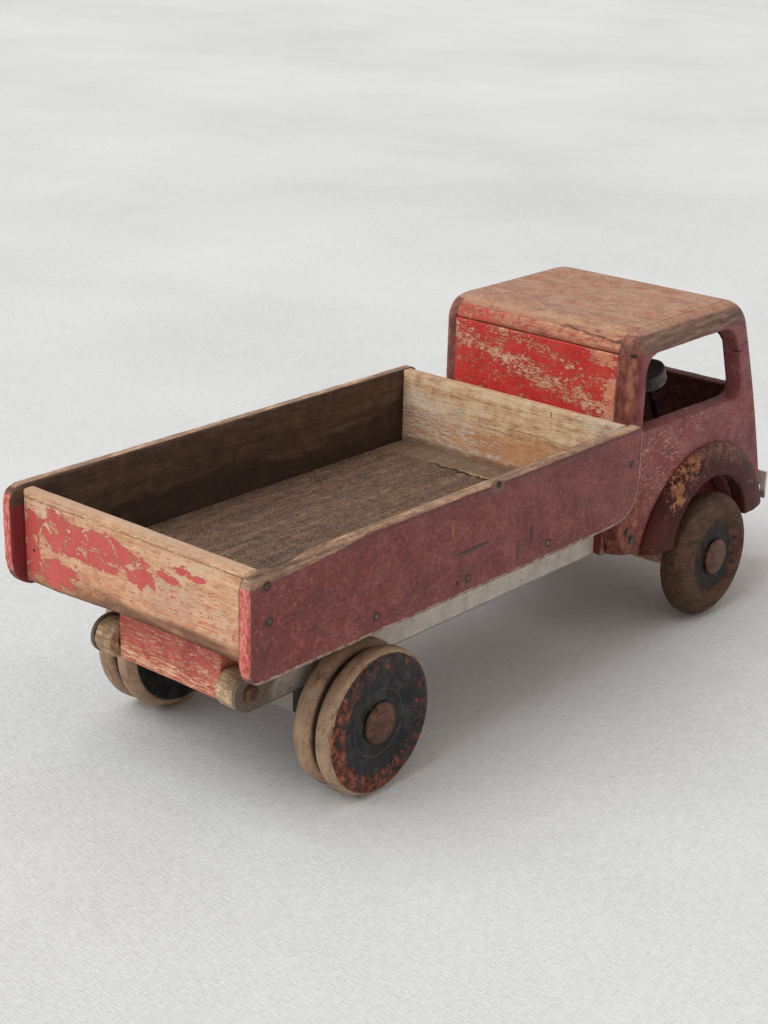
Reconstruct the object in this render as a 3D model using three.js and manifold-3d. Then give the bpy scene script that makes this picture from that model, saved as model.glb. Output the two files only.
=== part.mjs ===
// A wooden push along tipper truck: a cab, a tipping bed on a rear hinge, and six-disc rolling gear.
// Millimetres, +Z up, +X towards the cab, +Y to the truck's left.  Until the last line, X is counted
// forward from the rear end of the bed's side boards, Y from the truck's middle and Z from the ground.
import * as THREE from 'three';
import { mergeVertices } from 'three/addons/utils/BufferGeometryUtils.js';
import Module from 'manifold-3d';

// Driving dimensions.
const OVERALL_LENGTH = 570;
const GAP = 0.3;               // air between pieces that are nailed or laid against each other
const RUNNING_GAP = 0.4;       // air around anything that turns

const BED_LENGTH = 363;
const BED_HALF_WIDTH = 100;
const BOARD = 8;               // thickness of every board of the bed
const BED_BOTTOM = 104;
const BED_TOP = 168;
const BED_FLOOR_TOP = 117.2;
const TAILGATE_REAR = 9.3;
const TAILGATE_TOP = 166.2;
const FRONT_BOARD_REAR = 347;

const HINGE_X = 41;
const HINGE_Z = 75.5;
const HINGE_RADIUS = 11.5;     // of the knuckles and of the rails' rounded rear ends
const PIN_RADIUS = 3;
const HINGE_BLOCK_HALF = 42;
const KNUCKLE_INNER = 43.5;

const RAIL_OUTER = 60;
const RAIL_THICK = 2.5;
const RAIL_FRONT = 440;

const WHEEL_RADIUS = 45;
const REAR_AXLE_X = 110;
const FRONT_AXLE_X = 471;
const AXLE_RADIUS = 3.5;
const REAR_WHEEL_Y = 83;       // middle plane of a rear double wheel
const REAR_WHEEL_HALF = 16.3;
const FRONT_WHEEL_Y = 88;
const FRONT_WHEEL_HALF = 12;

const CAB_REAR = 374.5;
const CAB_BOTTOM = 66;
const CAB_TOP = 221;
const CAB_HALF_WIDTH = 82;
const CAB_SIDE = 14;           // thickness of a cab side
const CAB_ROUND = 13.5;        // rounding of the cab's outer edges
const ROOF_THICK = 15;
const CAB_PANEL = 10;          // thickness of the rear and front panels
const LEDGE_REAR = 350;        // the cab sides reach back under the bed and carry it
const LEDGE_TONGUE = 9;        // only this much of their height reaches the front board
const LOBE_REAR = 369;
const LEDGE_LOW_ROUND = 24;
const LEDGE_TOP_ROUND = 3;

const ARCH_X = 470.5;          // the wheel arch, through fender and cab side
const ARCH_Z = 55.5;
const ARCH_RADIUS = 48;
const FENDER_X = 473;
const FENDER_Z = 44;
const FENDER_RADIUS = 81.5;
const FENDER_OUTER = 93;
const FENDER_BOTTOM = 62.5;

const CURVE_STEPS = 8;
const ROUND_STEPS = 40;
const ARCH_STEPS = 56;

const wasm = await Module();
wasm.setup();

function finish(color, roughness, metalness = 0) {
  return new THREE.MeshStandardMaterial({ color, roughness, metalness });
}

const bareWood = () => finish(0xb08a68, 0.85);
const redPaint = () => finish(0x8f3a35, 0.7);
const darkRedPaint = () => finish(0x6b3532, 0.75);
const galvanised = () => finish(0x85857b, 0.5, 0.8);
const rustySteel = () => finish(0x6e3f2e, 0.75, 0.5);
const wheelPaint = () => finish(0x3a3a3c, 0.7);

const truck = new THREE.Group();
truck.position.x = -OVERALL_LENGTH / 2;

function add(name, geometry, material) {
  const mesh = new THREE.Mesh(geometry, material);
  mesh.name = name;
  truck.add(mesh);
  return mesh;
}

// Left is +Y and right is -Y.
const SIDES = [['left', 1], ['right', -1]];

// ---- shaping helpers ----

function toSolid(geometry) {
  const bare = geometry.clone();
  bare.deleteAttribute('normal');
  bare.deleteAttribute('uv');
  const merged = mergeVertices(bare, 1e-4);
  return new wasm.Manifold(new wasm.Mesh({
    numProp: 3,
    vertProperties: merged.attributes.position.array,
    triVerts: Uint32Array.from(merged.index.array),
  }));
}

function toGeometry(solid) {
  const mesh = solid.getMesh();
  const geometry = new THREE.BufferGeometry();
  geometry.setAttribute('position', new THREE.BufferAttribute(mesh.vertProperties, 3));
  geometry.setIndex(new THREE.BufferAttribute(mesh.triVerts, 1));
  geometry.computeVertexNormals();
  return geometry;
}

function cut(geometry, ...tools) {
  return toGeometry(tools.reduce((solid, tool) => solid.subtract(toSolid(tool)), toSolid(geometry)));
}

function join(geometry, other) {
  return toGeometry(toSolid(geometry).add(toSolid(other)));
}

function overlap(geometry, other) {
  return toGeometry(toSolid(geometry).intersect(toSolid(other)));
}

function block(xLow, xHigh, yLow, yHigh, zLow, zHigh) {
  const geometry = new THREE.BoxGeometry(xHigh - xLow, yHigh - yLow, zHigh - zLow);
  geometry.translate((xLow + xHigh) / 2, (yLow + yHigh) / 2, (zLow + zHigh) / 2);
  return geometry;
}

// A round bar along Y.
function bar(radius, x, z, yLow, yHigh, steps = ROUND_STEPS / 2) {
  const geometry = new THREE.CylinderGeometry(radius, radius, yHigh - yLow, steps);
  geometry.translate(x, (yLow + yHigh) / 2, z);
  return geometry;
}

// An outline drawn in X and Z, as thick as the way from yLow to yHigh.
function slab(outline, yLow, yHigh) {
  const geometry = new THREE.ExtrudeGeometry(outline, {
    depth: yHigh - yLow,
    bevelEnabled: false,
    curveSegments: CURVE_STEPS,
  });
  geometry.rotateX(Math.PI / 2);
  geometry.translate(0, yHigh, 0);
  return geometry;
}

// The same with both outer rims rounded off.
function softSlab(outline, yLow, yHigh, round, steps = 4) {
  const geometry = new THREE.ExtrudeGeometry(outline, {
    depth: yHigh - yLow - 2 * round,
    bevelThickness: round,
    bevelSize: round,
    bevelOffset: -round,
    bevelSegments: steps,
    curveSegments: CURVE_STEPS,
  });
  geometry.rotateX(Math.PI / 2);
  geometry.translate(0, yHigh - round, 0);
  return geometry;
}

// A closed outline through corners [x, z, radius], each corner rounded by its radius.
function roundedOutline(corners) {
  const outline = new THREE.Shape();
  const count = corners.length;
  corners.forEach(([x, z, radius], index) => {
    const [fromX, fromZ] = corners[(index + count - 1) % count];
    const [toX, toZ] = corners[(index + 1) % count];
    const before = new THREE.Vector2(fromX - x, fromZ - z).setLength(radius);
    const after = new THREE.Vector2(toX - x, toZ - z).setLength(radius);
    const place = index === 0 ? 'moveTo' : 'lineTo';
    outline[place](x + before.x, z + before.y);
    if (radius > 0) outline.quadraticCurveTo(x, z, x + after.x, z + after.y);
  });
  return outline;
}

// A turned piece around the Y axis from [radius, y] pairs that run upwards in y.
function turned(profile, steps = ROUND_STEPS) {
  return new THREE.LatheGeometry(profile.map(([radius, y]) => new THREE.Vector2(radius, y)), steps);
}

// Turned pieces are drawn for the left side; the right one is the same piece turned about Z.
function setOnAxle(mesh, x, z, y, side) {
  mesh.position.set(x, y * side, z);
  if (side < 0) mesh.rotation.z = Math.PI;
}

function screwHole(x, z, yLow, yHigh) {
  return bar(SCREW_RADIUS + GAP, x, z, yLow, yHigh, SCREW_STEPS);
}

// ---- fasteners ----

const SCREW_RADIUS = 1.6;
const SCREW_STEPS = 12;
const SCREW_HEAD = 3;
const SCREW_HEAD_THICK = 1.1;

// The head's underside is at y = 0 and the shank points towards -Y.
function screwGeometry(shankLength) {
  return turned([
    [0, -shankLength],
    [SCREW_RADIUS, -shankLength],
    [SCREW_RADIUS, 0],
    [SCREW_HEAD, 0],
    [SCREW_HEAD, SCREW_HEAD_THICK * 0.5],
    [SCREW_HEAD * 0.7, SCREW_HEAD_THICK],
    [0, SCREW_HEAD_THICK],
  ], SCREW_STEPS);
}

const CAB_SCREWS = { lower: [385, 77], upper: [379.2, 84.4] };   // [x, z]
const CAB_SCREW_LENGTH = 21;
const BUMPER_SCREW_Y = 52;
const BUMPER_SCREW_Z = 74.5;
const BUMPER_SCREW_LENGTH = 13;

// ---- the tipping bed ----

const floorUnder = BED_FLOOR_TOP - BOARD;
const bedInner = BED_HALF_WIDTH - BOARD - GAP;

const REAR_LOW_ROUND = { left: 22, right: 13 };   // roundings of the side boards' corners
const FRONT_LOW_ROUND = 30;
const FRONT_TOP_ROUND = 7;
const REAR_TOP_ROUND = 11;

const HINGE_BLOCK_BEHIND = 5;  // how far the hinge block reaches behind the pin's axis
const HINGE_BLOCK_BELOW = 9.5;
const HINGE_BLOCK_LENGTH = 22;
const BATTEN_LENGTH = 20;
const BATTEN_THICK = 15;
const BATTEN_HALF = 60;

function addBed() {
  for (const [side, sign] of SIDES) {
    const outline = roundedOutline([
      [0, BED_BOTTOM, REAR_LOW_ROUND[side]],
      [BED_LENGTH, BED_BOTTOM, FRONT_LOW_ROUND],
      [BED_LENGTH, BED_TOP, FRONT_TOP_ROUND],
      [0, BED_TOP, REAR_TOP_ROUND],
    ]);
    const y = [sign * BED_HALF_WIDTH, sign * (BED_HALF_WIDTH - BOARD)].sort((a, b) => a - b);
    add(`bed_${side}_side`, slab(outline, y[0], y[1]), darkRedPaint());
  }
  const tailgateFront = TAILGATE_REAR + BOARD;
  const frontBoardFront = FRONT_BOARD_REAR + BOARD;
  const tailgate = block(TAILGATE_REAR, tailgateFront, -bedInner, bedInner, floorUnder, TAILGATE_TOP);
  add('tailgate', tailgate, bareWood());
  const floorRear = tailgateFront + GAP;
  const floorFront = FRONT_BOARD_REAR - GAP;
  const floor = block(floorRear, floorFront, -bedInner, bedInner, floorUnder, BED_FLOOR_TOP);
  add('bed_floor', floor, bareWood());
  const front = block(FRONT_BOARD_REAR, frontBoardFront, -bedInner, bedInner, floorUnder, BED_TOP);
  add('bed_front_board', front, bareWood());

  const blockRear = HINGE_X - HINGE_BLOCK_BEHIND;
  const blockFront = blockRear + HINGE_BLOCK_LENGTH;
  const blockBottom = HINGE_Z - HINGE_BLOCK_BELOW;
  const under = floorUnder - GAP;
  const hingeBlock = cut(
    block(blockRear, blockFront, -HINGE_BLOCK_HALF, HINGE_BLOCK_HALF, blockBottom, under),
    bar(PIN_RADIUS + RUNNING_GAP, HINGE_X, HINGE_Z, -BED_HALF_WIDTH, BED_HALF_WIDTH),
  );
  add('bed_hinge_block', hingeBlock, redPaint());
  const battenRear = blockFront + GAP;
  const battenFront = battenRear + BATTEN_LENGTH;
  const batten = block(battenRear, battenFront, -BATTEN_HALF, BATTEN_HALF, under - BATTEN_THICK, under);
  add('bed_cross_batten', batten, darkRedPaint());
}

// ---- rails, knuckles and hinge pin ----

const PIN_HEAD_RADIUS = 5;
const PIN_HEAD_THICK = 3;
const PIN_HEAD_BEVEL = 1;
const KNUCKLE_STEPS = 32;

function addRails() {
  const outline = new THREE.Shape();
  outline.moveTo(HINGE_X, HINGE_Z - HINGE_RADIUS);
  outline.lineTo(RAIL_FRONT, HINGE_Z - HINGE_RADIUS);
  outline.lineTo(RAIL_FRONT, HINGE_Z + HINGE_RADIUS);
  outline.lineTo(HINGE_X, HINGE_Z + HINGE_RADIUS);
  outline.absarc(HINGE_X, HINGE_Z, HINGE_RADIUS, Math.PI / 2, 1.5 * Math.PI, false);
  const pinHole = bar(PIN_RADIUS + GAP, HINGE_X, HINGE_Z, -BED_HALF_WIDTH, BED_HALF_WIDTH);
  const railInner = RAIL_OUTER - RAIL_THICK;
  const knuckleOuter = railInner - GAP;
  for (const [side, sign] of SIDES) {
    const railY = [sign * railInner, sign * RAIL_OUTER].sort((a, b) => a - b);
    add(`${side}_rail`, cut(slab(outline, railY[0], railY[1]), pinHole), galvanised());
    const knuckleY = [sign * KNUCKLE_INNER, sign * knuckleOuter].sort((a, b) => a - b);
    const barrel = bar(HINGE_RADIUS, HINGE_X, HINGE_Z, knuckleY[0], knuckleY[1], KNUCKLE_STEPS);
    add(`${side}_knuckle`, cut(barrel, pinHole), bareWood());
  }
  const headIn = RAIL_OUTER + GAP;
  const headOut = headIn + PIN_HEAD_THICK;
  const flat = PIN_HEAD_RADIUS - PIN_HEAD_BEVEL;
  const pin = turned([
    [0, -headOut],
    [flat, -headOut],
    [PIN_HEAD_RADIUS, -headOut + PIN_HEAD_BEVEL],
    [PIN_HEAD_RADIUS, -headIn],
    [PIN_RADIUS, -headIn],
    [PIN_RADIUS, headIn],
    [PIN_HEAD_RADIUS, headIn],
    [PIN_HEAD_RADIUS, headOut - PIN_HEAD_BEVEL],
    [flat, headOut],
    [0, headOut],
  ], ROUND_STEPS / 2);
  add('hinge_pin', pin, rustySteel()).position.set(HINGE_X, 0, HINGE_Z);
}

// ---- the sheet-metal hanger that carries the rear axle ----

const HANGER_SHEET = 1.8;
const HANGER_REAR = 79;
const HANGER_FRONT = 141;
const HANGER_TOP = HINGE_Z + HINGE_RADIUS - 1;
const HANGER_REAR_FOOT = 50;   // where each cheek starts to narrow towards the axle, behind and in front
const HANGER_FRONT_FOOT = 64;
const HANGER_BOTTOM = 33;
const HANGER_BOTTOM_HALF = 14;
const HANGER_ROUND = 12;
const hangerOuter = RAIL_OUTER - RAIL_THICK - GAP;

function addRearHanger() {
  const cheekOutline = roundedOutline([
    [HANGER_REAR, HANGER_TOP, 0],
    [HANGER_REAR, HANGER_REAR_FOOT, 0],
    [REAR_AXLE_X - HANGER_BOTTOM_HALF, HANGER_BOTTOM, HANGER_ROUND],
    [REAR_AXLE_X + HANGER_BOTTOM_HALF, HANGER_BOTTOM, HANGER_ROUND],
    [HANGER_FRONT, HANGER_FRONT_FOOT, 0],
    [HANGER_FRONT, HANGER_TOP, 0],
  ]);
  const innerRear = HANGER_REAR + HANGER_SHEET;
  const innerHalf = hangerOuter - HANGER_SHEET;
  const hanger = cut(
    slab(cheekOutline, -hangerOuter, hangerOuter),
    block(innerRear, HANGER_FRONT + BOARD, -innerHalf, innerHalf, 0, CAB_TOP),
    bar(AXLE_RADIUS + GAP, REAR_AXLE_X, WHEEL_RADIUS, -BED_HALF_WIDTH, BED_HALF_WIDTH),
  );
  add('rear_axle_hanger', hanger, galvanised());
}

// ---- the cab ----

const CAB_FOOT = 566;          // the front's lowest point
const FRONT_BEND = [549, 137]; // the front's curve leans towards this point, [x, z]
const BROW = [523, 204];       // top of the front, where it rounds over into the roof
const BROW_BEND_X = 516.5;
const ROOF_FRONT = 500;
const ROOF_REAR_ROUND = 18;

// The side view of the cab: upright rear, rounded roof and a front that leans back.
function cabOutline(bottom) {
  const roofRear = CAB_REAR + ROOF_REAR_ROUND;
  const outline = new THREE.Shape();
  outline.moveTo(CAB_REAR, bottom);
  outline.lineTo(CAB_FOOT, bottom);
  outline.lineTo(CAB_FOOT, CAB_BOTTOM);
  outline.quadraticCurveTo(...FRONT_BEND, ...BROW);
  outline.quadraticCurveTo(BROW_BEND_X, CAB_TOP, ROOF_FRONT, CAB_TOP);
  outline.lineTo(roofRear, CAB_TOP);
  outline.absarc(roofRear, CAB_TOP - ROOF_REAR_ROUND, ROOF_REAR_ROUND, Math.PI / 2, Math.PI, false);
  return outline;
}

// The side window's corners, as [x, z, radius].
function windowOutline() {
  return roundedOutline([
    [389, 152.5, 3],
    [518, 150, 15],
    [500, 204.5, 16],
    [390, 204.5, 13],
  ]);
}

const archHole = () => bar(ARCH_RADIUS, ARCH_X, ARCH_Z, -BED_HALF_WIDTH, BED_HALF_WIDTH, ARCH_STEPS);

function cabSideGeometry() {
  const inner = CAB_HALF_WIDTH - CAB_SIDE;
  const wide = CAB_HALF_WIDTH - 3 * CAB_SIDE;
  const house = softSlab(cabOutline(CAB_BOTTOM - 2 * CAB_ROUND), wide, CAB_HALF_WIDTH, CAB_ROUND);
  const ledgeTop = floorUnder - GAP;
  const ledgeFront = CAB_REAR + 2 * CAB_SIDE;
  const ledge = slab(roundedOutline([
    [LOBE_REAR, CAB_BOTTOM, LEDGE_LOW_ROUND],
    [ledgeFront, CAB_BOTTOM, 0],
    [ledgeFront, ledgeTop, 0],
    [LEDGE_REAR, ledgeTop, LEDGE_TOP_ROUND],
    [LEDGE_REAR, ledgeTop - LEDGE_TONGUE, LEDGE_TOP_ROUND],
    [LOBE_REAR, ledgeTop - LEDGE_TONGUE, 0],
  ]), inner, CAB_HALF_WIDTH);
  const limits = block(LEDGE_REAR - 1, OVERALL_LENGTH, inner, CAB_HALF_WIDTH, CAB_BOTTOM, CAB_TOP);
  const holes = Object.values(CAB_SCREWS).map(([x, z]) => screwHole(x, z, 0, BED_HALF_WIDTH));
  return cut(
    join(overlap(house, limits), ledge),
    slab(windowOutline(), 0, BED_HALF_WIDTH),
    archHole(),
    ...holes,
  );
}

const cabInner = CAB_HALF_WIDTH - CAB_SIDE - GAP;
const roofUnder = CAB_TOP - ROOF_THICK;
const panelFoot = HINGE_Z + HINGE_RADIUS + 1;

const WINDSCREEN_HALF = 60;
const WINDSCREEN_SILL = 151;
const WINDSCREEN_HEAD = 194;
const WINDSCREEN_SILL_ROUND = 6;
const WINDSCREEN_HEAD_ROUND = 13;

function addCabShell() {
  const side = cabSideGeometry();
  add('cab_left_side', side, darkRedPaint());
  const mirrored = toGeometry(toSolid(side).mirror([0, 1, 0]));
  add('cab_right_side', mirrored, darkRedPaint());

  const house = slab(cabOutline(CAB_BOTTOM), -cabInner, cabInner);
  const roofSpace = block(CAB_REAR, OVERALL_LENGTH, -cabInner, cabInner, roofUnder, CAB_TOP);
  add('cab_roof', overlap(house, roofSpace), redPaint());

  const wallTop = roofUnder - GAP;
  const rear = block(CAB_REAR, CAB_REAR + CAB_PANEL, -cabInner, cabInner, panelFoot, wallTop);
  add('cab_rear_panel', rear, redPaint());

  const hollow = house.clone();
  hollow.translate(-CAB_PANEL, 0, 0);
  const frontSpace = block(ARCH_X, OVERALL_LENGTH, -cabInner, cabInner, CAB_BOTTOM, wallTop);
  const windscreen = new THREE.ExtrudeGeometry(roundedOutline([
    [-WINDSCREEN_HALF, WINDSCREEN_SILL, WINDSCREEN_SILL_ROUND],
    [WINDSCREEN_HALF, WINDSCREEN_SILL, WINDSCREEN_SILL_ROUND],
    [WINDSCREEN_HALF, WINDSCREEN_HEAD, WINDSCREEN_HEAD_ROUND],
    [-WINDSCREEN_HALF, WINDSCREEN_HEAD, WINDSCREEN_HEAD_ROUND],
  ]), { depth: OVERALL_LENGTH, bevelEnabled: false, curveSegments: CURVE_STEPS });
  windscreen.rotateX(Math.PI / 2);
  windscreen.rotateZ(Math.PI / 2);
  const bumperHoles = SIDES.map(([, sign]) => {
    const hole = screwHole(0, 0, 0, OVERALL_LENGTH);
    hole.rotateZ(-Math.PI / 2);
    hole.translate(0, sign * BUMPER_SCREW_Y, BUMPER_SCREW_Z);
    return hole;
  });
  add('cab_front_panel', cut(overlap(house, frontSpace), hollow, windscreen, ...bumperHoles), redPaint());
}

// Inside the cab: a cross block behind, a chassis block over the front axle, and the floor board.
const frameBottom = HINGE_Z - HINGE_RADIUS;
const CROSS_BLOCK_FRONT = CAB_REAR + 16;
const CROSS_BLOCK_LENGTH = 18;
const CHASSIS_BLOCK_REAR = 418;
const CHASSIS_BLOCK_FRONT = 530;
const CHASSIS_BLOCK_TOP = 98;
const AXLE_BEAM_HALF = 16;     // fore and aft
const AXLE_BEAM_BOTTOM = 33;

function railSlots(xHigh) {
  const inner = RAIL_OUTER - RAIL_THICK - GAP;
  const outer = RAIL_OUTER + GAP;
  const top = HINGE_Z + HINGE_RADIUS + GAP;
  return [
    block(0, xHigh, inner, outer, 0, top),
    block(0, xHigh, -outer, -inner, 0, top),
  ];
}

function addCabInside() {
  const crossRear = CROSS_BLOCK_FRONT - CROSS_BLOCK_LENGTH;
  const crossTop = panelFoot - GAP;
  const holes = Object.values(CAB_SCREWS).flatMap(([x, z]) => SIDES.map(([, sign]) => {
    const depth = CAB_HALF_WIDTH - CAB_SCREW_LENGTH - GAP;
    const ends = [sign * depth, sign * BED_HALF_WIDTH].sort((a, b) => a - b);
    return screwHole(x, z, ends[0], ends[1]);
  }));
  const cross = cut(
    block(crossRear, CROSS_BLOCK_FRONT, -cabInner, cabInner, frameBottom, crossTop),
    ...railSlots(OVERALL_LENGTH),
    ...holes,
  );
  add('rear_cross_block', cross, darkRedPaint());

  const chassis = block(
    CHASSIS_BLOCK_REAR, CHASSIS_BLOCK_FRONT, -cabInner, cabInner, frameBottom, CHASSIS_BLOCK_TOP,
  );
  add('front_chassis_block', cut(chassis, ...railSlots(RAIL_FRONT + GAP)), darkRedPaint());

  const floorBottom = CHASSIS_BLOCK_TOP + GAP;
  const floorRear = CAB_REAR + CAB_PANEL + GAP;
  const floor = block(floorRear, CHASSIS_BLOCK_FRONT, -cabInner, cabInner, floorBottom, floorBottom + BOARD);
  add('cab_floor', floor, darkRedPaint());

  const beamHalf = FRONT_WHEEL_Y - FRONT_WHEEL_HALF - RUNNING_GAP;
  const beamRear = FRONT_AXLE_X - AXLE_BEAM_HALF;
  const beamFront = FRONT_AXLE_X + AXLE_BEAM_HALF;
  const beam = cut(
    block(beamRear, beamFront, -beamHalf, beamHalf, AXLE_BEAM_BOTTOM, frameBottom - GAP),
    bar(AXLE_RADIUS + GAP, FRONT_AXLE_X, WHEEL_RADIUS, -BED_HALF_WIDTH, BED_HALF_WIDTH),
  );
  add('front_axle_beam', beam, bareWood());
}

function addCabScrews() {
  for (const [side, sign] of SIDES) {
    for (const [level, [x, z]] of Object.entries(CAB_SCREWS)) {
      const screw = add(`cab_${side}_${level}_screw`, screwGeometry(CAB_SCREW_LENGTH), rustySteel());
      setOnAxle(screw, x, z, CAB_HALF_WIDTH + GAP, sign);
    }
  }
}

const FENDER_FLAT_RADIUS = 52; // of the part of the dome that is full height
const FENDER_FULLNESS = 0.8;   // below 1 the dome's shoulder is squarer

// The fender is a shallow turned dome, opened by the wheel arch and cut level below.
function fenderGeometry() {
  const inner = CAB_HALF_WIDTH + GAP;
  const steps = 6;
  const shoulder = FENDER_RADIUS - FENDER_FLAT_RADIUS;
  const crown = Array.from({ length: steps + 1 }, (_, index) => {
    const angle = Math.PI / 2 * index / steps;
    const radius = FENDER_FLAT_RADIUS + shoulder * Math.cos(angle) ** FENDER_FULLNESS;
    return [radius, inner + (FENDER_OUTER - inner) * Math.sin(angle)];
  });
  const dome = turned([[0, inner], ...crown, [0, FENDER_OUTER]], ARCH_STEPS);
  dome.translate(FENDER_X, 0, FENDER_Z);
  const space = block(0, OVERALL_LENGTH, 0, BED_HALF_WIDTH, FENDER_BOTTOM, CAB_TOP);
  return cut(overlap(dome, space), archHole());
}

function addFenders() {
  const fender = fenderGeometry();
  add('left_fender', fender, redPaint());
  add('right_fender', toGeometry(toSolid(fender).mirror([0, 1, 0])), redPaint());
}

const BUMPER_SHEET = 2;
const BUMPER_HALF = 80;
const BUMPER_TOP = 80;
const BUMPER_BOTTOM = 69;
const HOOK_BOTTOM = 59.5;
const HOOK_WIDTH = 4;

// A flat strip with a small hook at the bottom of each end.
function addBumper() {
  const rear = OVERALL_LENGTH - SCREW_HEAD_THICK - GAP - BUMPER_SHEET;
  const hookInner = BUMPER_HALF - HOOK_WIDTH;
  const outline = new THREE.Shape();
  outline.moveTo(-BUMPER_HALF, HOOK_BOTTOM);
  outline.lineTo(-hookInner, HOOK_BOTTOM);
  outline.lineTo(-hookInner, BUMPER_BOTTOM);
  outline.lineTo(hookInner, BUMPER_BOTTOM);
  outline.lineTo(hookInner, HOOK_BOTTOM);
  outline.lineTo(BUMPER_HALF, HOOK_BOTTOM);
  outline.lineTo(BUMPER_HALF, BUMPER_TOP);
  outline.lineTo(-BUMPER_HALF, BUMPER_TOP);
  for (const [, sign] of SIDES) {
    const hole = new THREE.Path();
    hole.absarc(sign * BUMPER_SCREW_Y, BUMPER_SCREW_Z, SCREW_RADIUS + GAP, 0, 2 * Math.PI, true);
    outline.holes.push(hole);
  }
  const strip = new THREE.ExtrudeGeometry(outline, {
    depth: BUMPER_SHEET,
    bevelEnabled: false,
    curveSegments: SCREW_STEPS,
  });
  strip.rotateX(Math.PI / 2);
  strip.rotateZ(Math.PI / 2);
  strip.translate(rear, 0, 0);
  add('front_bumper', strip, galvanised());
  for (const [side, sign] of SIDES) {
    const screw = add(`bumper_${side}_screw`, screwGeometry(BUMPER_SCREW_LENGTH), rustySteel());
    screw.position.set(rear + BUMPER_SHEET + GAP, sign * BUMPER_SCREW_Y, BUMPER_SCREW_Z);
    screw.rotation.z = -Math.PI / 2;
  }
}

// ---- steering ----

const STEER_TILT = -0.44;
const STEER_TOP = [463.5, -34, 171];
const STEER_DISC = 13;
const STEER_THICK = 11;
const STEER_BORE_DEPTH = 6;
const STEER_BEVEL = 0.8;
const STEER_STEPS = 32;
const COLUMN_STEPS = 16;
const COLUMN_RADIUS = 2.5;
const COLUMN_LENGTH = 61;

// Both pieces are drawn along +Z with the disc's upper face at the origin, then leaned back together.
function addSteering() {
  const bore = COLUMN_RADIUS + RUNNING_GAP;
  const disc = turned([
    [0, -STEER_THICK + STEER_BORE_DEPTH],
    [bore, -STEER_THICK + STEER_BORE_DEPTH],
    [bore, -STEER_THICK],
    [STEER_DISC - STEER_BEVEL, -STEER_THICK],
    [STEER_DISC, -STEER_THICK + STEER_BEVEL],
    [STEER_DISC, -STEER_BEVEL],
    [STEER_DISC - STEER_BEVEL, 0],
    [0, 0],
  ], STEER_STEPS);
  const columnTop = -STEER_THICK + STEER_BORE_DEPTH - RUNNING_GAP;
  const column = new THREE.CylinderGeometry(COLUMN_RADIUS, COLUMN_RADIUS, COLUMN_LENGTH, COLUMN_STEPS);
  column.translate(0, columnTop - COLUMN_LENGTH / 2, 0);
  const pieces = [['steering_wheel', disc, galvanised()], ['steering_column', column, rustySteel()]];
  for (const [name, geometry, material] of pieces) {
    geometry.rotateX(Math.PI / 2);
    geometry.rotateY(STEER_TILT);
    add(name, geometry, material).position.set(...STEER_TOP);
  }
}

// ---- wheels, axles and hub caps ----

const BORE = AXLE_RADIUS + RUNNING_GAP;
const REAR_FACE = 13;          // hub face of a rear wheel, outwards from its middle plane
const FRONT_FACE = 9;
const CAP_RADIUS = 13;
const CAP_HEIGHT = 3.9;
const CAP_STEPS = 32;
const SLEEVE_RADIUS = 7;
const SLEEVE_STEPS = 24;

const DISC_MIDDLE = 8.6;       // middle plane of each of a rear wheel's discs, from the wheel's own
const DISC_SHOULDER = 7;       // how far the tread falls away at a disc's rims
const GROOVE_RADIUS = 36;
const REAR_DISH_RADIUS = 20;   // the flat bottom of the dished face, and the rim around the dish
const REAR_RIM_RADIUS = 33;
const REAR_RIM_SET_BACK = 0.5;
const FRONT_DISH_RADIUS = 25;

// Two flat-faced discs with rounded treads and a groove between them.
function rearWheelProfile() {
  const discHalf = REAR_WHEEL_HALF - DISC_MIDDLE;
  const rim = REAR_WHEEL_HALF - REAR_RIM_SET_BACK;
  const treadSteps = [-1, -0.8, -0.45, 0, 0.45, 0.8, 1];
  const tread = (middle) => treadSteps.map((t) => [
    WHEEL_RADIUS - DISC_SHOULDER * Math.abs(t) ** 2.5,
    middle + discHalf * t,
  ]);
  return [
    [BORE, -REAR_FACE],
    [REAR_DISH_RADIUS, -REAR_FACE],
    [REAR_RIM_RADIUS, -rim],
    ...tread(-DISC_MIDDLE),
    [GROOVE_RADIUS, -DISC_MIDDLE + discHalf],
    [GROOVE_RADIUS, DISC_MIDDLE - discHalf],
    ...tread(DISC_MIDDLE),
    [REAR_RIM_RADIUS, rim],
    [REAR_DISH_RADIUS, REAR_FACE],
    [BORE, REAR_FACE],
    [BORE, -REAR_FACE],
  ];
}

// One fat balloon tread around a recessed hub face.
function frontWheelProfile() {
  const treadMiddle = WHEEL_RADIUS - FRONT_WHEEL_HALF;
  const steps = 12;
  const tread = Array.from({ length: steps + 1 }, (_, index) => {
    const angle = -Math.PI / 2 + Math.PI * index / steps;
    return [treadMiddle + FRONT_WHEEL_HALF * Math.cos(angle), FRONT_WHEEL_HALF * Math.sin(angle)];
  });
  return [
    [BORE, -FRONT_FACE],
    [FRONT_DISH_RADIUS, -FRONT_FACE],
    ...tread,
    [FRONT_DISH_RADIUS, FRONT_FACE],
    [BORE, FRONT_FACE],
    [BORE, -FRONT_FACE],
  ];
}

function capProfile() {
  return [
    [0, 0],
    [CAP_RADIUS, 0],
    [CAP_RADIUS, CAP_HEIGHT * 0.45],
    [CAP_RADIUS * 0.86, CAP_HEIGHT * 0.8],
    [CAP_RADIUS * 0.5, CAP_HEIGHT * 0.97],
    [0, CAP_HEIGHT],
  ];
}

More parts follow.
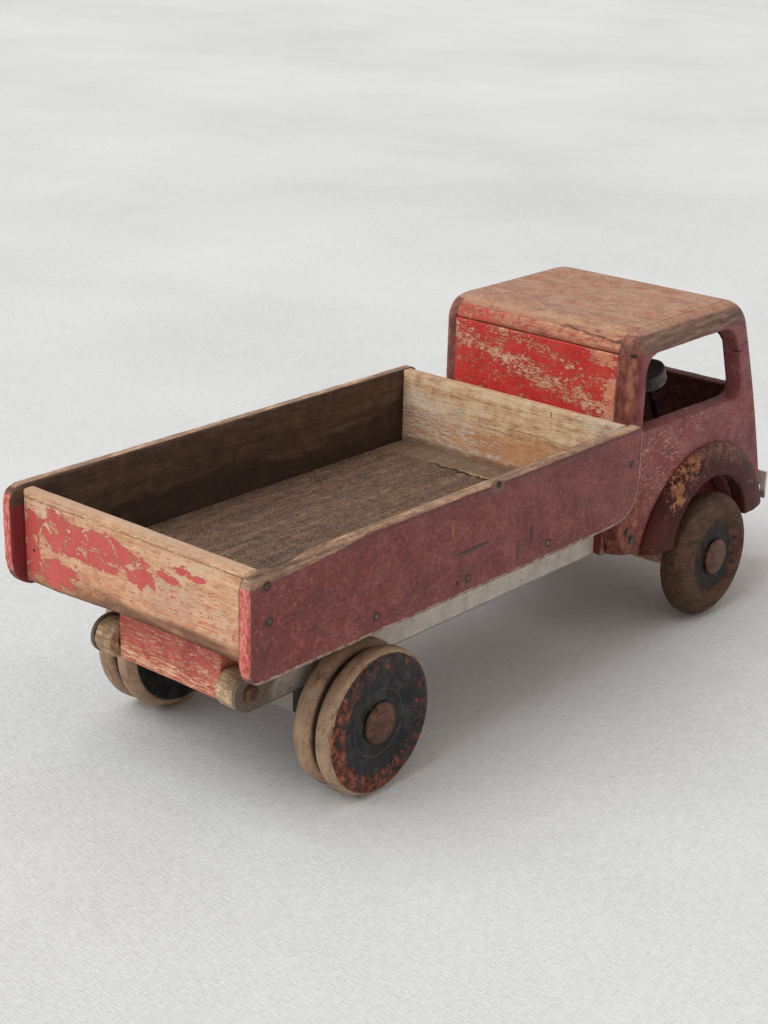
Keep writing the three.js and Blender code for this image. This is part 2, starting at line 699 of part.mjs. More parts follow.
function addRollingGear() {
  const axles = [
    ['rear', REAR_AXLE_X, REAR_WHEEL_Y, REAR_FACE, rearWheelProfile()],
    ['front', FRONT_AXLE_X, FRONT_WHEEL_Y, FRONT_FACE, frontWheelProfile()],
  ];
  for (const [end, x, wheelY, face, profile] of axles) {
    const hubFace = wheelY + face;
    add(`${end}_axle`, bar(AXLE_RADIUS, x, WHEEL_RADIUS, -hubFace, hubFace), rustySteel());
    for (const [side, sign] of SIDES) {
      const wheel = add(`${side}_${end}_wheel`, turned(profile), wheelPaint());
      setOnAxle(wheel, x, WHEEL_RADIUS, wheelY, sign);
      const cap = add(`${side}_${end}_hub_cap`, turned(capProfile(), CAP_STEPS), rustySteel());
      setOnAxle(cap, x, WHEEL_RADIUS, hubFace + RUNNING_GAP, sign);
    }
  }
  // Sleeves keep the rear wheels clear of the hanger's cheeks.
  const sleeveIn = hangerOuter + GAP;
  const sleeveOut = REAR_WHEEL_Y - REAR_FACE - RUNNING_GAP;
  for (const [side, sign] of SIDES) {
    const sleeve = turned([
      [BORE, sleeveIn],
      [SLEEVE_RADIUS, sleeveIn],
      [SLEEVE_RADIUS, sleeveOut],
      [BORE, sleeveOut],
      [BORE, sleeveIn],
    ], SLEEVE_STEPS);
    setOnAxle(add(`${side}_axle_sleeve`, sleeve, galvanised()), REAR_AXLE_X, WHEEL_RADIUS, 0, sign);
  }
}

addBed();
addRails();
addRearHanger();
addCabShell();
addCabInside();
addCabScrews();
addFenders();
addBumper();
addSteering();
addRollingGear();

export default truck;
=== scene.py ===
"""The looks of the push along truck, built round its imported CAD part. Blender 4.5, lengths in metres."""

import math

import bpy
import numpy as np
from mathutils import Matrix, Vector, noise


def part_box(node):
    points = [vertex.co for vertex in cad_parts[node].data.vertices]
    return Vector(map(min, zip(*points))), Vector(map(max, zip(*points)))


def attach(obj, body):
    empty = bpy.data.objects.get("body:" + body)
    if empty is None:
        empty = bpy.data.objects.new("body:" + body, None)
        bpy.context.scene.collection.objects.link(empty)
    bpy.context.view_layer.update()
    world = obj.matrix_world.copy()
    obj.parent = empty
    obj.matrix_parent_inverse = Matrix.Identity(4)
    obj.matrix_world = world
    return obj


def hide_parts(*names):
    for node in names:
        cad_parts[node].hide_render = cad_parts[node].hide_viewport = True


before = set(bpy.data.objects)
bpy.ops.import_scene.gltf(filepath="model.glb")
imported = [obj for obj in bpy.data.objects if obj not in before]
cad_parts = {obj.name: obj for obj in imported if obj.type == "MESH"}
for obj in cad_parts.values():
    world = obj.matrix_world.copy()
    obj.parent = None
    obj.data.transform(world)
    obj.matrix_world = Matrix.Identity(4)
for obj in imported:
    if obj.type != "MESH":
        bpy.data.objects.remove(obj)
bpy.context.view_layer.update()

MM = 0.001
CHIP = 0.5 * MM         # how deep a fully worn edge is chipped
FULL_WEAR = 0.9 * MM    # how far such an edge stands out from the piece's smoothed shape
LEAST_WEAR = 0.12       # a point less worn than this share isn't chipped
SEAM = 2.5 * MM         # how far the cab's shell pieces run into one another
SEED_STEP = 7.31        # between one noise and the next, so that no two are alike
X, Y, Z = 0, 1, 2
LOW, HIGH = 0, 1

# ---------------------------------------------------------------- colours, as display values from 0 to 255
TAN_WOOD = [(156, 102, 68), (214, 166, 128), (236, 196, 158)]
PINK_WOOD = [(104, 72, 54), (172, 132, 104), (212, 174, 142)]
GREY_WOOD = [(70, 55, 44), (140, 116, 92), (190, 166, 138)]
DARK_WOOD = [(46, 34, 27), (84, 64, 49), (122, 96, 74)]
RED = [(176, 56, 56), (204, 84, 78), (214, 98, 90)]
BRIGHT_RED = [(168, 30, 28), (204, 48, 42), (214, 72, 58)]
END_RED = [(172, 62, 58), (212, 96, 88), (230, 146, 128)]
MAROON = [(94, 46, 46), (126, 66, 64), (152, 86, 82)]
MAUVE = [(96, 50, 54), (138, 80, 82), (158, 102, 100)]
DEEP_RED = [(70, 20, 22), (122, 38, 40), (146, 58, 52)]
RUST = [(54, 36, 28), (92, 61, 46), (130, 90, 68)]
DARK_RUST = [(42, 36, 32), (84, 70, 60), (128, 106, 88)]
# Rust on the steering column, drawn near black as painted shade for the dark inside the cab.
COLUMN_RUST_AND_SHADE = [(30, 26, 24), (54, 45, 40), (90, 76, 66)]
PIN_RUST = [(52, 36, 27), (98, 65, 46), (138, 98, 72)]


def linear(colour):
    """A display colour from 0 to 255 as the linear colour a shader socket takes."""
    return tuple((c / 255) ** 2.2 for c in colour) + (1.0,)


class Finish:
    """A material in the making. Its methods give node sockets, and take sockets or plain numbers.

    draws is how many noise patterns are passed over before its first.
    """

    def __init__(self, name, draws=0):
        self.material = bpy.data.materials.new(name)
        self.material.use_nodes = True
        self.tree = self.material.node_tree
        self.tree.nodes.clear()
        self.place = self.add("ShaderNodeTexCoord").outputs["Object"]
        axes = self.add("ShaderNodeSeparateXYZ")
        self.put(axes.inputs[0], self.place)
        self.x, self.y, self.z = axes.outputs
        self.seed = draws * SEED_STEP

    def add(self, kind, **settings):
        node = self.tree.nodes.new(kind)
        for key, value in settings.items():
            setattr(node, key, value)
        return node

    def put(self, socket, value):
        if isinstance(value, bpy.types.NodeSocket):
            self.tree.links.new(value, socket)
        else:
            socket.default_value = value

    def math(self, operation, *values):
        node = self.add("ShaderNodeMath", operation=operation)
        for socket, value in zip(node.inputs, values):
            self.put(socket, value)
        return node.outputs[0]

    def total(self, *values):
        """The sum of sockets, each given alone or as (socket, weight)."""
        result = None
        for value in values:
            socket, weight = value if isinstance(value, tuple) else (value, 1.0)
            start = 0.0 if result is None else result
            result = self.math("MULTIPLY_ADD", socket, weight, start)
        return result

    def noise(self, size, detail=8, rough=0.75, warp=0.0):
        """Cloudy noise from 0 to 1, its features about size millimetres across, or a size for each axis."""
        sizes = size if isinstance(size, tuple) else (size, size, size)
        self.seed += SEED_STEP
        scaled = self.add("ShaderNodeVectorMath", operation="MULTIPLY_ADD")
        self.put(scaled.inputs[0], self.place)
        scaled.inputs[1].default_value = [1 / (s * MM) for s in sizes]
        scaled.inputs[2].default_value = (self.seed, -self.seed, self.seed)
        node = self.add("ShaderNodeTexNoise")
        self.put(node.inputs["Vector"], scaled.outputs[0])
        node.inputs["Scale"].default_value = 1.0
        node.inputs["Detail"].default_value = detail
        node.inputs["Roughness"].default_value = rough
        node.inputs["Distortion"].default_value = warp
        return node.outputs["Fac"]

    def grain(self, axis, length, width, **settings):
        """Noise in streaks that run along an axis, of a length and width in millimetres."""
        return self.noise(tuple(length if a == axis else width for a in (X, Y, Z)), **settings)

    def rise(self, value, low, high):
        """0 below low, 1 above high and smooth between; falls instead where low is above high."""
        node = self.add("ShaderNodeMapRange", interpolation_type="SMOOTHSTEP")
        self.put(node.inputs["Value"], value)
        node.inputs["From Min"].default_value = low
        node.inputs["From Max"].default_value = high
        return node.outputs["Result"]

    def step(self, value, at, low, high):
        """rise, from low to high millimetres beyond at."""
        return self.rise(value, at + low * MM, at + high * MM)

    def strip(self, value, at, low, high, soft):
        """1 from low to high millimetres beyond at, with edges soft to each side."""
        start = self.step(value, at, low - soft, low + soft)
        return self.both(start, self.step(value, at, high + soft, high - soft))

    def both(self, *masks):
        """1 where every mask is."""
        result = masks[0]
        for mask in masks[1:]:
            result = self.math("MULTIPLY", result, mask)
        return result

    def without(self, first, second):
        """first where second is 0, and nothing where second is 1."""
        return self.math("MULTIPLY", first, self.math("SUBTRACT", 1.0, second))

    def either(self, *values):
        result = values[0]
        for value in values[1:]:
            result = self.math("MAXIMUM", result, value)
        return result

    def distance(self, centre, radii):
        """How far each point is from centre: 1 on an ellipsoid with these radii, in millimetres."""
        node = self.add("ShaderNodeVectorMath", operation="MULTIPLY_ADD")
        self.put(node.inputs[0], self.place)
        node.inputs[1].default_value = [1 / (r * MM) for r in radii]
        node.inputs[2].default_value = [-c / (r * MM) for c, r in zip(centre, radii)]
        length = self.add("ShaderNodeVectorMath", operation="LENGTH")
        self.put(length.inputs[0], node.outputs[0])
        return length.outputs["Value"]

    def patch(self, centre, radii, soft=0.2, ragged=None):
        """1 within an ellipsoid, 0 outside; ragged is a noise that breaks up its edge."""
        far = self.distance(centre, radii)
        if ragged is not None:
            far = self.total(far, (ragged, 1.2), (0.6, -1.0))
        return self.rise(far, 1 + soft, 1 - soft)

    def wear(self):
        node = self.add("ShaderNodeAttribute", attribute_name="wear")
        return node.outputs["Fac"]

    def mix(self, amount, first, second):
        node = self.add("ShaderNodeMix", data_type="RGBA")
        self.put(node.inputs[0], amount)
        self.put(node.inputs[6], linear(first) if isinstance(first, tuple) else first)
        self.put(node.inputs[7], linear(second) if isinstance(second, tuple) else second)
        return node.outputs[2]

    def over(self, colour, mask, amount, tone):
        """colour with tone laid over it where mask is 1, as strongly as amount."""
        return self.mix(self.both(mask, amount), colour, tone)

    def tones(self, value, colours, low=0.42, high=0.6):
        """Colours spread evenly over value, from low to high."""
        node = self.add("ShaderNodeValToRGB")
        self.put(node.inputs[0], value)
        stops = node.color_ramp.elements
        for index, colour in enumerate(colours):
            place = low + (high - low) * index / (len(colours) - 1)
            stop = stops[index] if index < 2 else stops.new(place)
            stop.position = place
            stop.color = linear(colour)
        return node.outputs[0]

    def finish(self, colour, roughness, height=None, metallic=0.0, specular=0.5):
        """Ends the material. height is in millimetres."""
        shader = self.add("ShaderNodeBsdfPrincipled")
        self.put(shader.inputs["Base Color"], linear(colour) if isinstance(colour, tuple) else colour)
        self.put(shader.inputs["Roughness"], roughness)
        self.put(shader.inputs["Metallic"], metallic)
        shader.inputs["Specular IOR Level"].default_value = specular
        if height is not None:
            bump = self.add("ShaderNodeBump")
            bump.inputs["Strength"].default_value = 1.0
            bump.inputs["Distance"].default_value = MM
            self.put(bump.inputs["Height"], height)
            self.put(shader.inputs["Normal"], bump.outputs[0])
        output = self.add("ShaderNodeOutputMaterial")
        self.put(output.inputs["Surface"], shader.outputs[0])
        return self.material


def wood(f, axis, colours, contrast=1.0):
    """Old bare wood with its grain along axis: its colour, and its height in millimetres."""
    figure = f.grain(axis, 110, 6, detail=4, rough=0.6, warp=0.5)
    streaks = f.grain(axis, 20, 1.0, detail=7)
    fibres = f.grain(axis, 5, 0.35, detail=4, rough=0.7)
    dirt = f.noise(11, detail=9)
    value = f.total((figure, 0.22), (streaks, 0.36), (fibres, 0.14), (dirt, 0.28))
    spread = 0.085 / contrast
    colour = f.tones(value, colours, 0.5 - spread, 0.5 + spread)
    cracks = f.rise(fibres, 0.36, 0.28)
    colour = f.over(colour, cracks, 0.6, colours[0])
    height = f.total((streaks, 0.4), (fibres, 0.25), (cracks, -0.25))
    return colour, height


def paint(f, axis, colours, worn=1.0):
    """Old paint: its colour and its height in millimetres, with the grain showing through as it is worn."""
    clouds = f.noise(20, detail=9, rough=0.74)
    rub = f.grain(axis, 5, 0.9, detail=6, rough=0.78)
    spread = 0.1 / worn
    value = f.total((clouds, 0.5), (rub, 0.5))
    colour = f.tones(value, colours, 0.5 - spread, 0.5 + spread)
    return colour, f.total((rub, 0.3 * worn), (clouds, 0.2), 0.15)


def layered(f, cover, under, over):
    """One finish over another where cover is 1: colour, roughness and height."""
    colour = f.mix(cover, under[0], over[0])
    height = f.total(under[1], f.both(cover, over[1]))
    return colour, f.total(0.78, (cover, 0.55 - 0.78)), height


def specks(f, size, share):
    """Small crisp spots, more of them as share goes from 0 to 1."""
    threshold = 0.7 - 0.2 * share
    return f.rise(f.noise(size, detail=5, rough=0.8, warp=0.6), threshold, threshold + 0.025)


def flakes(f, axis, bareness, size=9):
    """Where paint is left: 1 on paint, 0 where it has flaked off, more of it as bareness goes from 0 to 1."""
    big = f.grain(axis, size * 1.7, size, rough=0.7, warp=0.4)
    fine = f.grain(axis, size * 0.4, size * 0.12, detail=5)
    threshold = 0.36 + 0.28 * bareness
    return f.rise(f.total((big, 0.62), (fine, 0.38)), threshold - 0.01, threshold + 0.01)


def edges(f, low=0.5, high=0.7, ragged=0.5):
    """1 along worn edges, with a broken outline."""
    rough = f.noise(2.5, detail=6)
    return f.rise(f.total(f.wear(), (rough, ragged), (0.5, -ragged)), low, high)


# ---------------------------------------------------------------- meshes
def coordinates(mesh, what="co"):
    values = np.empty(len(mesh.vertices) * 3, np.float32)
    mesh.vertices.foreach_get(what, values)
    return values.reshape(-1, 3).astype(float)


def evaluated(piece):
    bpy.context.view_layer.update()
    graph = bpy.context.evaluated_depsgraph_get()
    return bpy.data.meshes.new_from_object(piece.evaluated_get(graph))


def set_out(piece, body, slot, material, *nodes):
    """Gives a new piece its finish and body, and hides the CAD nodes it stands for; slot is not used."""
    piece.data.materials.clear()
    piece.data.materials.append(material)
    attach(piece, body)
    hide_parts(*nodes)
    return piece


def worn_copy(node, body, slot, material, voxel=1.3 * MM, rounding=3, snug=(), shape=None):
    """A finer copy of a CAD node, its edges rounded and chipped by use.

    Each point's "wear" says how exposed it is. snug lists the (axis, end) faces that lie against a neighbour,
    where edges stay sharp. shape moves the points before they are kept.
    """
    piece = bpy.data.objects.new(f"worn_{node}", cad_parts[node].data.copy())
    bpy.context.scene.collection.objects.link(piece)
    grid = piece.modifiers.new("grid", "REMESH")
    grid.mode = "VOXEL"
    grid.voxel_size = voxel
    rounded = piece.modifiers.new("rounded", "SMOOTH")
    rounded.factor = 0.5
    rounded.iterations = 0
    sharp = coordinates(evaluated(piece))
    rounded.iterations = rounding * 5
    soft = coordinates(evaluated(piece))
    rounded.iterations = rounding
    mesh = evaluated(piece)
    points, normals = coordinates(mesh), coordinates(mesh, "normal")
    free = np.ones(len(points))
    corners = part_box(node)
    for axis, end in snug:
        depth = np.abs(points[:, axis] - corners[end][axis])
        free = np.minimum(free, np.clip((depth - MM) / (4 * MM), 0, 1))
    wear = np.clip(((points - soft) * normals).sum(1) / FULL_WEAR, -1, 1) * free
    points = sharp + (points - sharp) * free[:, None]
    for index in np.flatnonzero(wear > LEAST_WEAR):
        place = Vector(points[index])
        bite = noise.noise(place / (13 * MM)) + 0.7 * noise.noise(place / (4 * MM))
        points[index] -= normals[index] * CHIP * wear[index] * max(0.0, 0.3 + bite)
    if shape is not None:
        points = shape(points)
    mesh.vertices.foreach_set("co", points.astype(np.float32).ravel())
    kept = mesh.attributes.new("wear", "FLOAT", "POINT")
    kept.data.foreach_set("value", wear.astype(np.float32))
    mesh.shade_smooth()
    piece.modifiers.clear()
    piece.data = mesh
    return set_out(piece, body, slot, material, node)


def softened(profile, step, passes):
    """A profile of (radius, offset) points, refilled every step and with its corners rounded."""
    profile = np.array(profile, float)
    lengths = np.r_[0, np.cumsum(np.linalg.norm(np.diff(profile, axis=0), axis=1))]
    at = np.linspace(0, lengths[-1], max(8, round(lengths[-1] / step)))
    fine = np.stack([np.interp(at, lengths, profile[:, i]) for i in (0, 1)], axis=1)
    for _ in range(passes):
        fine[1:-1] = (fine[:-2] + 2 * fine[1:-1] + fine[2:]) / 4
    return fine


def turned_mesh(name, profile, centre, axis, steps=144, dent=0.0):
    """A closed profile of (radius, offset along axis) turned about an axis through centre."""
    centre, axis = Vector(centre), Vector(axis).normalized()
    across = axis.orthogonal().normalized()
    up = axis.cross(across)
    verts, count = [], len(profile)
    for k in range(steps):
        angle = 2 * math.pi * k / steps
        spoke = across * math.cos(angle) + up * math.sin(angle)
        for radius, offset in profile:
            point = centre + spoke * radius + axis * offset
            if dent and radius > 2 * MM:
                hollow = noise.noise(point / (14 * MM)) + 0.6 * noise.noise(point / (5 * MM))
                point -= spoke * dent * max(0.0, hollow)
            verts.append(point)
    faces = []
    for k in range(steps):
        for i in range(count):
            a, b = k * count, (k + 1) % steps * count
            j = (i + 1) % count
            faces.append((a + i, b + i, b + j, a + j))
    mesh = bpy.data.meshes.new(name)
    mesh.from_pydata(verts, [], faces)
    mesh.validate()
    mesh.update()
    mesh.shade_smooth()
    return mesh


def turned_piece(name, mesh, body, slot, material, *nodes):
    piece = bpy.data.objects.new(name, mesh)
    bpy.context.scene.collection.objects.link(piece)
    return set_out(piece, body, slot, material, *nodes)


# ---------------------------------------------------------------- places, from the frame
def lowest(node, axis):
    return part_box(node)[LOW][axis]


def highest(node, axis):
    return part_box(node)[HIGH][axis]


def middle(node):
    return (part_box(node)[LOW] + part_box(node)[HIGH]) / 2


BED_REAR = lowest("bed_left_side", X)
BED_FRONT = highest("bed_left_side", X)
BED_TOP = highest("bed_left_side", Z)
BED_BOTTOM = lowest("bed_left_side", Z)
LOWER_CORNER = 25.6 * MM     # the radius of a side board's front lower corner
BED_HALF = highest("bed_left_side", Y)
BED_INSIDE = lowest("bed_left_side", Y)
FLOOR_TOP = highest("bed_floor", Z)
FLOOR_MIDDLE = middle("bed_floor")[Z]
TAILGATE_MIDDLE = middle("tailgate")[X]
FRONT_BOARD_MIDDLE = middle("bed_front_board")[X]
ROOF_REAR = lowest("cab_roof", X)
ROOF_SEAM = lowest("cab_roof", Z)     # where the roof board meets the cab's sides and rear panel

# Where the nails go in through a side board: (x, z).
NAILS = [
    (TAILGATE_MIDDLE, BED_TOP - 8 * MM),
    (TAILGATE_MIDDLE + 2 * MM, BED_TOP - 29 * MM),
    (BED_REAR + 101 * MM, FLOOR_MIDDLE + 2 * MM),
    (BED_REAR + 183 * MM, FLOOR_MIDDLE + MM),
    (BED_REAR + 262 * MM, FLOOR_MIDDLE + MM),
    (FRONT_BOARD_MIDDLE, BED_TOP - 24 * MM),
]

# Marks on the outer face of the right side board, in millimetres: x from the board's rear end, z from its
# top, half length and half height. Then their colour.
MARKS = [
    (208, -2, 6.25, 4.25, (120, 88, 64)),
    (209, -2, 2.25, 2, (38, 27, 22)),
    (186, -36, 17.5, 1.125, (72, 52, 54)),
    (244, -42, 1, 6.25, (44, 28, 26)),
    (231, -50, 2, 7.5, (98, 58, 48)),
    (173, -54, 1.25, 1.875, (26, 18, 16)),
    (167, -19, 1, 6.25, (168, 92, 60)),
]

# A small hole by the cab's right rear corner and a crack in its front post: place, and radii in millimetres.
CAB_HOLES = [
    ((ROOF_REAR + 4 * MM, -BED_INSIDE + 14 * MM, ROOF_SEAM), (2, 4, 1.2)),
    ((ROOF_REAR + 132 * MM, -BED_INSIDE + 10 * MM, ROOF_SEAM - 21 * MM), (5, 6, 0.7)),
]

# Islands of red paint on the tailgate: y, height as a share of the board's, and radii in millimetres.
RED_ISLANDS = [
    (0.085, 0.42, 7, 22),
    (0.064, 0.20, 18, 9),
    (0.058, 0.66, 20, 12),
    (0.026, 0.64, 28, 11.5),
    (-0.006, 0.58, 14, 9),
    (-0.026, 0.62, 16, 2.8),
    (-0.046, 0.74, 13, 2.2),
]
FRONT_LEAN = 0.27       # how far the cab's front leans back for each length it rises
STEER_LEAN = -0.44      # of the steering wheel's axis, from upright towards the front


# ---------------------------------------------------------------- finishes
def lower_rim(f):
    """1 on a thin broken line round a side board's lower edge, its front lower corner and its front end."""
    past = f.math("MAXIMUM", f.total(f.x, LOWER_CORNER - BED_FRONT), 0.0)
    below = f.math("MAXIMUM", f.total((f.z, -1.0), BED_BOTTOM + LOWER_CORNER), 0.0)
    reach = f.math("SQRT", f.total(f.both(past, past), f.both(below, below)))
    ragged = f.noise((6, 3, 6), detail=6)
    return f.step(f.total(reach, (ragged, 3 * MM)), LOWER_CORNER, -1.5, -1.0)


def side_board_finish(side):
    """A side board: dull maroon outside, dirty dark wood inside, bare where the edges have worn."""
    f = Finish(f"bed_{side}_paint")
    sign = 1 if side == "left" else -1
    across = f.math("MULTIPLY", f.y, sign)
    bare = wood(f, X, PINK_WOOD, contrast=1.3)
    dark = wood(f, X, DARK_WOOD, contrast=0.8)

    mottle = f.total((f.noise(3, detail=7, rough=0.72), 0.5), (f.noise(26), 0.5))
    red_colour = f.tones(mottle, MAROON, 0.4, 0.6)
    rear_third = f.step(f.x, BED_REAR, 150, 20)
    crimson = f.total(f.noise((26, 12, 12), rough=0.78), (rear_third, 0.06))
    red_colour = f.over(red_colour, f.rise(crimson, 0.5, 0.62), 0.5, (122, 46, 44))
    scuffs = f.total(f.noise((7, 1.8, 1.8), detail=6, rough=0.8), (rear_third, 0.03))
    red_colour = f.over(red_colour, f.rise(scuffs, 0.57, 0.6), 0.75, (104, 36, 38))
    chips = f.total(f.noise((2.6, 1.4, 3.4), detail=6, rough=0.8), (rear_third, 0.03))
    red_colour = f.over(red_colour, f.rise(chips, 0.605, 0.62), 0.9, (188, 96, 68))
    hairs = f.noise((1.2, 2, 9), detail=5, warp=0.8)
    red_colour = f.over(red_colour, f.rise(hairs, 0.6, 0.62), 0.75, (148, 38, 36))
    pits = f.total(f.noise((3.2, 1.6, 1.6), detail=5, rough=0.8), (rear_third, 0.025))
    red_colour = f.over(red_colour, f.rise(pits, 0.6, 0.625), 0.75, (62, 32, 34))
    smudges = f.rise(f.noise((30, 8, 9), rough=0.7), 0.58, 0.66)
    red_colour = f.over(red_colour, smudges, 0.45, (92, 66, 62))

    end_face = f.step(f.x, BED_REAR, 1.9, 1.1)
    end_red = f.tones(f.noise((2, 2, 4), detail=7, rough=0.8), END_RED, 0.4, 0.58)
    red_colour = f.mix(end_face, red_colour, end_red)
    ragged_top = f.grain(X, 7, 1.6, detail=6, rough=0.7)
    top_line = f.total(f.z, (ragged_top, 1.6 * MM))
    bare_colour = f.over(bare[0], f.rise(f.noise((30, 8, 8), rough=0.78), 0.44, 0.56), 0.75, (132, 106, 88))
    bare = (bare_colour, bare[1])
    gone = f.either(edges(f, 0.5, 0.56, 0.9), f.step(top_line, BED_TOP, -0.6, -0.3))
    if side == "right":
        fade = f.step(f.x, BED_REAR, 140, 5)
        worn_line = f.total(top_line, (fade, 7.5 * MM), (ragged_top, 2 * MM))
        gone = f.either(gone, f.step(worn_line, BED_TOP, 1.9, 2.2))
    cover = f.without(flakes(f, X, 0.08, size=5), gone)
    colour, roughness, height = layered(f, cover, bare, (red_colour, f.total((mottle, 0.35), 0.2)))
    rim_tone = f.tones(f.noise(5, detail=6), [(112, 84, 72), (160, 136, 118), (190, 168, 146)])
    colour = f.over(colour, f.without(lower_rim(f), end_face), 0.9, rim_tone)
    rear_rim = f.strip(f.x, BED_REAR, 1.5, 2.4, 0.3)
    colour = f.over(colour, f.both(rear_rim, f.rise(ragged_top, 0.4, 0.46)), 0.6, (126, 96, 80))
    brow = f.strip(top_line, BED_TOP, -2.4, -0.9, 0.5)
    colour = f.over(colour, f.both(brow, f.rise(ragged_top, 0.4, 0.48)), 0.7, (76, 54, 46))

    stain_edge = f.grain(X, 70, 30, detail=5, rough=0.6)
    stain_line = f.total(f.z, (stain_edge, -90 * MM))
    stain = f.step(stain_line, FLOOR_TOP, -23, -24)
    dark_colour = f.over(dark[0], stain, 0.6, (46, 34, 27))
    behind_gate = f.step(f.x, TAILGATE_MIDDLE, 0, -1)
    low_part = f.step(f.total(f.z, (ragged_top, 5 * MM)), BED_TOP, -9, -10)
    dark_colour = f.mix(f.both(behind_gate, low_part), dark_colour, (124, 36, 40))
    inside = f.step(across, BED_INSIDE, 1.4, 0.9)
    colour = f.mix(f.both(inside, f.rise(f.wear(), 0.7, 0.5)), colour, dark_colour)
    for x, z in NAILS:
        halo = f.patch((x, sign * BED_HALF, z), (3, 2, 2.9), 0.3)
        colour = f.over(colour, halo, 0.9, (44, 28, 26))
    if side == "right":
        # Painted shade: a dark patch laid in the gouge at the top of the inner face, beside the tailgate.
        place = (TAILGATE_MIDDLE + 17 * MM, -BED_INSIDE, BED_TOP - 3 * MM)
        gouge = f.patch(place, (20, 3.4, 7), 0.2, ragged=ragged_top)
        colour = f.over(colour, gouge, 0.85, (58, 42, 31))
        for x, z, length, width, tone in MARKS:
            place = (BED_REAR + x * MM, -BED_HALF, BED_TOP + z * MM)
            spot = f.patch(place, (length, 4, width), 0.2, ragged=ragged_top)
            colour = f.mix(spot, colour, tone)
    return f.finish(colour, roughness, height)


def tailgate_finish():
    """The tailgate: bare wood with jagged islands of red paint, most of them on its left half."""
    f = Finish("tailgate_wood")
    bare_colour, bare_height = wood(f, Y, TAN_WOOD, contrast=0.8)
    low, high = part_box("tailgate")
    tall = high[Z] - low[Z]
    clouds = f.grain(Y, 34, 13, rough=0.72)
    bare_colour = f.over(bare_colour, f.rise(clouds, 0.52, 0.62), 0.6, (210, 182, 154))
    bare_colour = f.over(bare_colour, f.rise(clouds, 0.47, 0.38), 0.5, (196, 142, 100))

    putty = f.patch((low[X], -0.03, low[Z] + 0.46 * tall), (20, 24, 11), 0.5, ragged=clouds)
    bare_colour = f.over(bare_colour, putty, 0.6, (194, 164, 140))

    away = None
    for y, share, length, width in RED_ISLANDS:
        near = f.distance((low[X], y, low[Z] + share * tall), (20, length, width))
        away = near if away is None else f.math("MINIMUM", away, near)
    jagged = f.total(
        (f.noise((9, 9, 7), detail=9, warp=0.3), 0.65),
        (f.grain(Y, 4, 1.1, detail=6, rough=0.8), 0.35),
    )
    level = f.total(jagged, (f.rise(away, 1.45, 0.7), 0.125))
    traces = f.grain(Y, 6, 1.1, detail=6, rough=0.8)
    band = f.patch((low[X], 0.0, low[Z] + 0.45 * tall), (20, 110, 22), 0.4)
    level = f.either(level, f.total(traces, (band, 0.05), -0.05))
    salmon = f.total(traces, (f.patch((low[X], 0.0, low[Z] + 0.3 * tall), (20, 100, 12), 0.5), 0.05))
    bare_colour = f.over(bare_colour, f.rise(salmon, 0.56, 0.585), 0.6, (226, 132, 104))
    outside = f.step(f.x, low[X], 2.5, 1.5)
    below_top = f.step(f.z, high[Z], -4, -6)
    outside = f.both(outside, below_top)
    thin = f.both(f.rise(level, 0.56, 0.585), outside)
    bare_colour = f.over(bare_colour, thin, 0.75, (224, 140, 112))
    cover = f.both(f.rise(level, 0.593, 0.598), outside)
    red = paint(f, Y, RED, worn=0.45)
    bare_height = f.total((bare_height, 0.8), (clouds, 0.4))
    colour, roughness, height = layered(f, cover, (bare_colour, bare_height), red)

    hem_line = f.total(f.z, (f.grain(Y, 46, 10, detail=7, rough=0.7), -22 * MM))
    grime = f.step(hem_line, low[Z], 4, -5)
    hem_tone = f.tones(clouds, [(104, 66, 46), (152, 98, 66), (190, 134, 92)])
    colour = f.over(colour, f.without(grime, cover), 0.8, hem_tone)
    colour = f.over(colour, f.step(f.z, low[Z], 2.5, 1), 0.6, (112, 78, 60))
    ridge = f.strip(f.z, high[Z], -5.6, -4.4, 0.4)
    broken = f.rise(f.grain(Y, 12, 2.5, detail=6, rough=0.7), 0.44, 0.5)
    colour = f.over(colour, f.both(ridge, broken), 0.6, (146, 94, 60))
    splinters = f.both(f.strip(f.z, high[Z], -4.4, -3.2, 0.3),
                       f.rise(f.grain(Y, 7, 2, detail=6), 0.5, 0.56))
    colour = f.over(colour, splinters, 0.8, (240, 208, 160))
    top = f.step(f.z, high[Z], -2.2, -0.8)
    colour = f.over(colour, top, 0.5, (172, 148, 126))
    nail_hole = f.patch((low[X], high[Y] - 8 * MM, low[Z] + 0.36 * tall), (4, 0.9, 0.9), 0.3)
    colour = f.mix(nail_hole, colour, (38, 22, 18))
    inside = f.step(f.x, high[X], -2.2, -1.2)
    colour = f.mix(f.both(inside, f.both(f.rise(f.wear(), 0.7, 0.4), 0.8)), colour, (84, 64, 50))
    return f.finish(colour, roughness, f.total(height, (f.both(ridge, broken), -0.5), (splinters, 0.4)))


